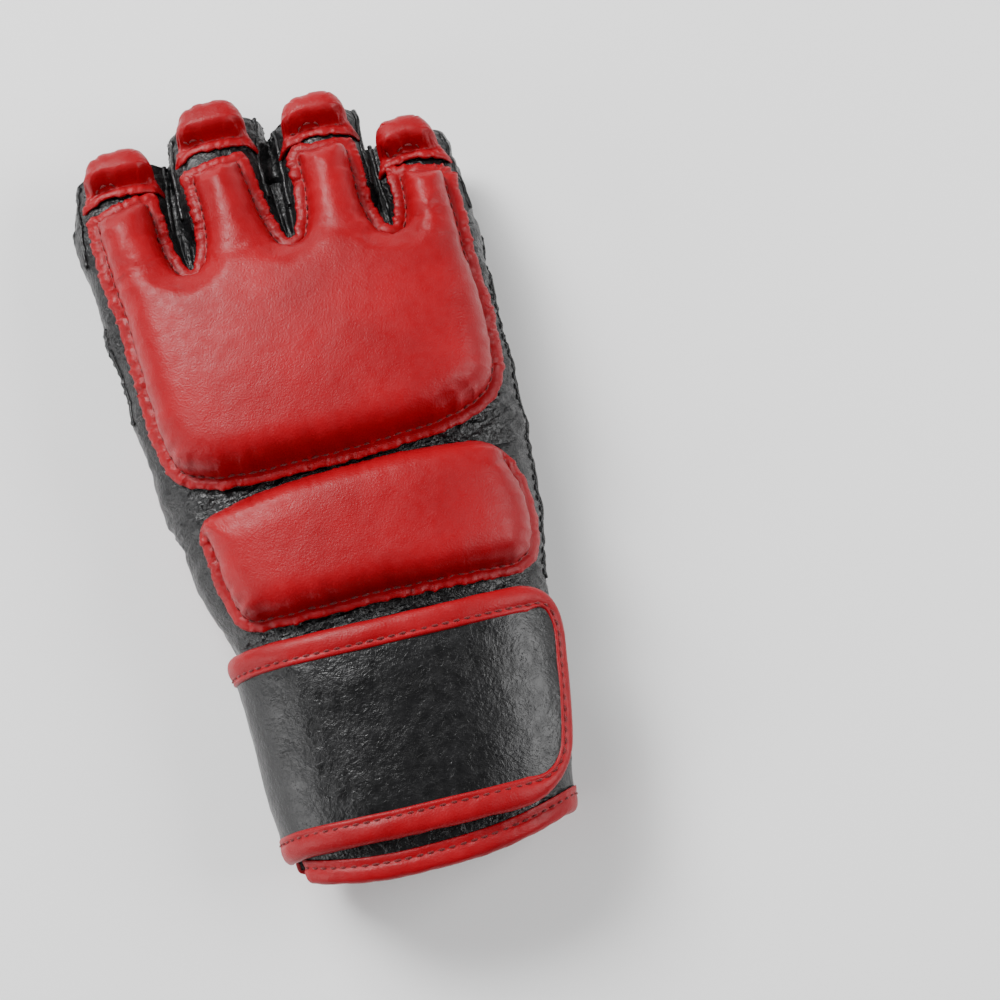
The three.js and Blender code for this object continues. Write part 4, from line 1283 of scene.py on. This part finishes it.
def pile_patch(name, low, body, node, tuft_height):
    """A hook or loop patch that keeps inside the strap's end: a backing with rows of short tufts."""
    share = np.linspace(0, 1, 60)[:, None]
    y = np.linspace(PATCH["bottom"], PATCH["top"], 60)
    end = np.maximum(np.interp(strap_end(y, PATCH_INSET), *STRAP_ARC), PATCH["finger_end"])
    angle = end + (PATCH["thumb_end"] - end) * share
    v = np.broadcast_to(y, angle.shape)
    edge = np.minimum(angle - end, PATCH["thumb_end"] - angle) / 2
    edge = np.minimum(edge, np.minimum(v - y[0], y[-1] - v))
    tufts = 0.5 + 0.5 * np.sin(angle * 4.6) * np.sin(v * 3.1)
    height = 0.55 + tuft_height * tufts * smoothstep(edge, 0.2, 1.6)
    patch = slab(name, surface(angle, v, low + height), surface(angle, v, low), FUZZ)
    put_on(body, "hook_and_loop", patch)
    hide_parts(node)


def make_seam_strip():
    """Black strip that covers the seam of the strap's root."""
    y = np.linspace(CUFF_PALM["end"] + CUFF_PALM["hem"] - 2, STRAP["top"] - 0.5, 60)
    profile = [(182, 0.3), (180.5, 1.6), (178.5, 2.6), (176, 3.2), (173, 3.3), (171.5, 2.2), (173, 0.9)]
    lines = []
    for angle, offset in profile:
        wobble = 0.2 * wave_noise(y, 3.5, angle)
        lines.append(surface(np.full(60, float(angle)), y, offset + wobble))
    strip = subdivide(sweep("strap_root_strip", lines, False, BLACK), 1)
    put_on("cuff", "black_leather", strip)
    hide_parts("strap_seam_strip")


# ---- lining, webs and side seams ------------------------------------------------------------

def make_lining():
    """Knit lining inside the back of the hand, with a seam across it."""
    angles = np.linspace(12, 168, 90)
    y = np.linspace(-39, 73, 80)
    a, v = np.meshgrid(angles, y, indexing="ij")
    seam = hump(v, -12, 1.1)
    inset = -(SHELL + 0.9) - 0.8 * seam
    ripple = 0.35 * noise_at(surface(a, v).reshape(-1, 3), 18.0, 2).reshape(a.shape)
    depth = inset + ripple * 0.6
    lining = slab("palm_side_lining", surface(a, v, depth), surface(a, v, depth - 0.7), LINING)
    put_on("hand", "lining", lining)
    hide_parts("hand_lining")


def make_webs():
    """Leather webs deep in the slots between the fingers, with lengthwise ridges."""
    for slot in SLOTS:
        uu, vv = np.meshgrid(np.linspace(-1, 1, 33), np.linspace(0, 1, 40), indexing="ij")
        spread = slot["half"] * (0.35 + 0.95 * np.sin(np.clip(vv * 1.9, 0, 1.4)))
        x = slot["x"] + uu * spread
        y = slot["bottom"] - 2.5 + slot["web"] * vv
        top = side_height(np.full(y.shape, float(slot["x"])), y, 1)
        sink = 0.5 + 3.2 * vv + 3.0 * (1 - np.abs(uu)) ** 1.2
        ridges = 1.0 * np.cos(uu * math.pi * 2.5) * smoothstep(vv, 0.05, 0.4)
        ridges += 0.35 * noise_at(np.stack([x, y, top], -1).reshape(-1, 3), [2.5, 9, 5], 2).reshape(x.shape)
        grid = np.stack([x, y, top - sink + ridges], -1)
        web = slab(f"{slot['name']}_web", grid, grid - np.array([0, 0, SHELL]), BLACK)
        put_on("hand", "black_leather", web)
        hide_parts(f"{slot['name']}_fourchette")


# reach is in degrees each side of the sleeve's side, and start is measured from the fold
STRIP = dict(reach=60, start=-20, inset=0.8, thickness=1.2)


def make_side_strips():
    """Leather strips down both sides of each sleeve, which close it where neighbours press together."""
    for finger in FINGERS:
        strips = []
        for middle in (0, 180):
            turn = np.linspace(middle - STRIP["reach"], middle + STRIP["reach"], 27)
            across, rise = finger_ring(finger, turn, -STRIP["inset"])
            across = sleeve_side(across, turn)
            end = finger["reach"] - rise * math.tan(math.radians(TIP_CUT)) - 0.4
            along = STRIP["start"] + np.linspace(0, 1, 32)[:, None] * (end - STRIP["start"])
            flat = finger_point(finger, across, rise, along)
            ripple = 0.35 * noise_at(flat.reshape(-1, 3), 6.0, 2).reshape(along.shape)
            out_x, out_z = np.cos(np.radians(turn)), np.sin(np.radians(turn))
            layers = []
            for offset in (ripple, ripple - STRIP["thickness"]):
                layers.append(finger_point(finger, across + offset * out_x, rise + offset * out_z, along))
            strips.append(slab(f"strip{middle}", *layers, BLACK))
        finish_finger(join(strips, f"{finger['name']}_side_strips"), finger)


WELT_START = -14  # from the fold of each finger


def make_side_seams(skin):
    """Welted seams down the sides of the hand and along the finger sleeves."""
    for name, angle, low, high in (("little_side", 3, -43, 70), ("thumb_side", 170, 36, 70)):
        y = np.arange(low, high, 1.0)
        wander = angle + 1.5 * wave_noise(y, 25, 2.1)
        line, normals = on_skin(skin, surface(wander, y))
        welt = ridge(f"{name}_seam", line, normals, 0.75, 0.7, False, BLACK)
        beside, directions = on_skin(skin, surface(wander + 5, y))
        sewing = stitch_row(f"{name}_stitches", beside + directions * 0.1, directions, False, BLACK_THREAD)
        put_on("hand", "black_leather", welt, sewing)
    for finger in FINGERS:
        welts = []
        for angle in (20, 160):
            along = np.arange(WELT_START, finger["reach"] - 1.0, 0.8)
            across, rise = finger_ring(finger, angle)
            line, normals = on_skin(skin, finger_point(finger, across, rise, along))
            welts.append(ridge(f"welt{angle}", line, normals, 0.8, 0.8, False, BLACK))
        finish_finger(join(welts, f"{finger['name']}_side_welts"), finger)


# ---- stage ----------------------------------------------------------------------------------

def aim(name, data, place, direction):
    """A camera or light at a place, that looks along a direction."""
    obj = add_object(name, data)
    obj.location = place
    obj.rotation_mode = "QUATERNION"
    obj.rotation_quaternion = direction.to_track_quat("-Z", "Y")
    return obj


def make_camera():
    """A long lens from above, a little from the cuff side, turned with the glove's tilt."""
    target = Vector(to_frame([43.1, -19.4, 45]))
    elevation, turn, distance = math.radians(79), math.radians(15), 0.757
    ahead = Vector((math.sin(turn), math.cos(turn), 0))
    back = -ahead * math.cos(elevation) + Vector((0, 0, math.sin(elevation)))
    data = bpy.data.cameras.new("camera")
    data.lens = 90
    data.sensor_width = 36
    bpy.context.scene.camera = aim("camera", data, target + back * distance, -back)


def area_light(name, place, target, size, power, shape=(1, 1)):
    data = bpy.data.lights.new(name, "AREA")
    data.shape = "RECTANGLE"
    data.size, data.size_y = size * shape[0], size * shape[1]
    data.energy = power
    aim(name, data, place, Vector(target) - Vector(place))


def make_stage():
    floor_material, _, shader = new_material("studio_floor", 0.85, specular=0.2)
    shader.inputs["Base Color"].default_value = (0.93, 0.93, 0.93, 1)
    size = 4000
    corners = [(size * x, size * y, FLOOR) for x, y in ((-1, -1), (1, -1), (1, 1), (-1, 1))]
    make_object("studio_floor", corners, [(0, 1, 2, 3)], floor_material)
    world = bpy.data.worlds.new("studio")
    world.use_nodes = True
    background = world.node_tree.nodes["Background"].inputs
    background["Color"].default_value = (1, 1, 1, 1)
    background["Strength"].default_value = 0.2
    bpy.context.scene.world = world
    middle = (0, 0, 0.03)
    area_light("key", (-0.45, 0.85, 0.95), middle, 0.75, 22)
    area_light("fill", (0.95, -0.1, 0.75), middle, 0.75, 12)
    area_light("rim", (-0.95, -0.15, 0.4), middle, 0.45, 5, (1, 1.5))
    data = bpy.data.lights.new("room", "SUN")
    data.energy = 1.6
    data.angle = math.radians(20)
    add_object("room", data).rotation_euler = (math.radians(-38), math.radians(-34), 0)


# ---- assembly -------------------------------------------------------------------------------

make_camera()
make_stage()

solid = glove_solid()
pad_base = PadBase(solid)
back_pads = make_back_pads(pad_base)
finger_pads = make_finger_pads()
fill_pads([*back_pads, *finger_pads])
finish_pad(back_pads[0], "hand", knuckle_creases)
finish_pad(back_pads[1], "hand")
for pad, part in zip(finger_pads, FINGERS):
    finish_pad(pad, part["name"])
make_webs()
skin = make_shell(solid)
make_openings()
make_cuff_hems()
pile_patch("loop_fastener", 0.35, "cuff", "loop_patch", 0.35)
pile_patch("hook_fastener", 1.75, "strap_tip", "hook_patch", 0.3)
make_strap()
make_seam_strip()
make_lining()
make_side_strips()
make_side_seams(skin)
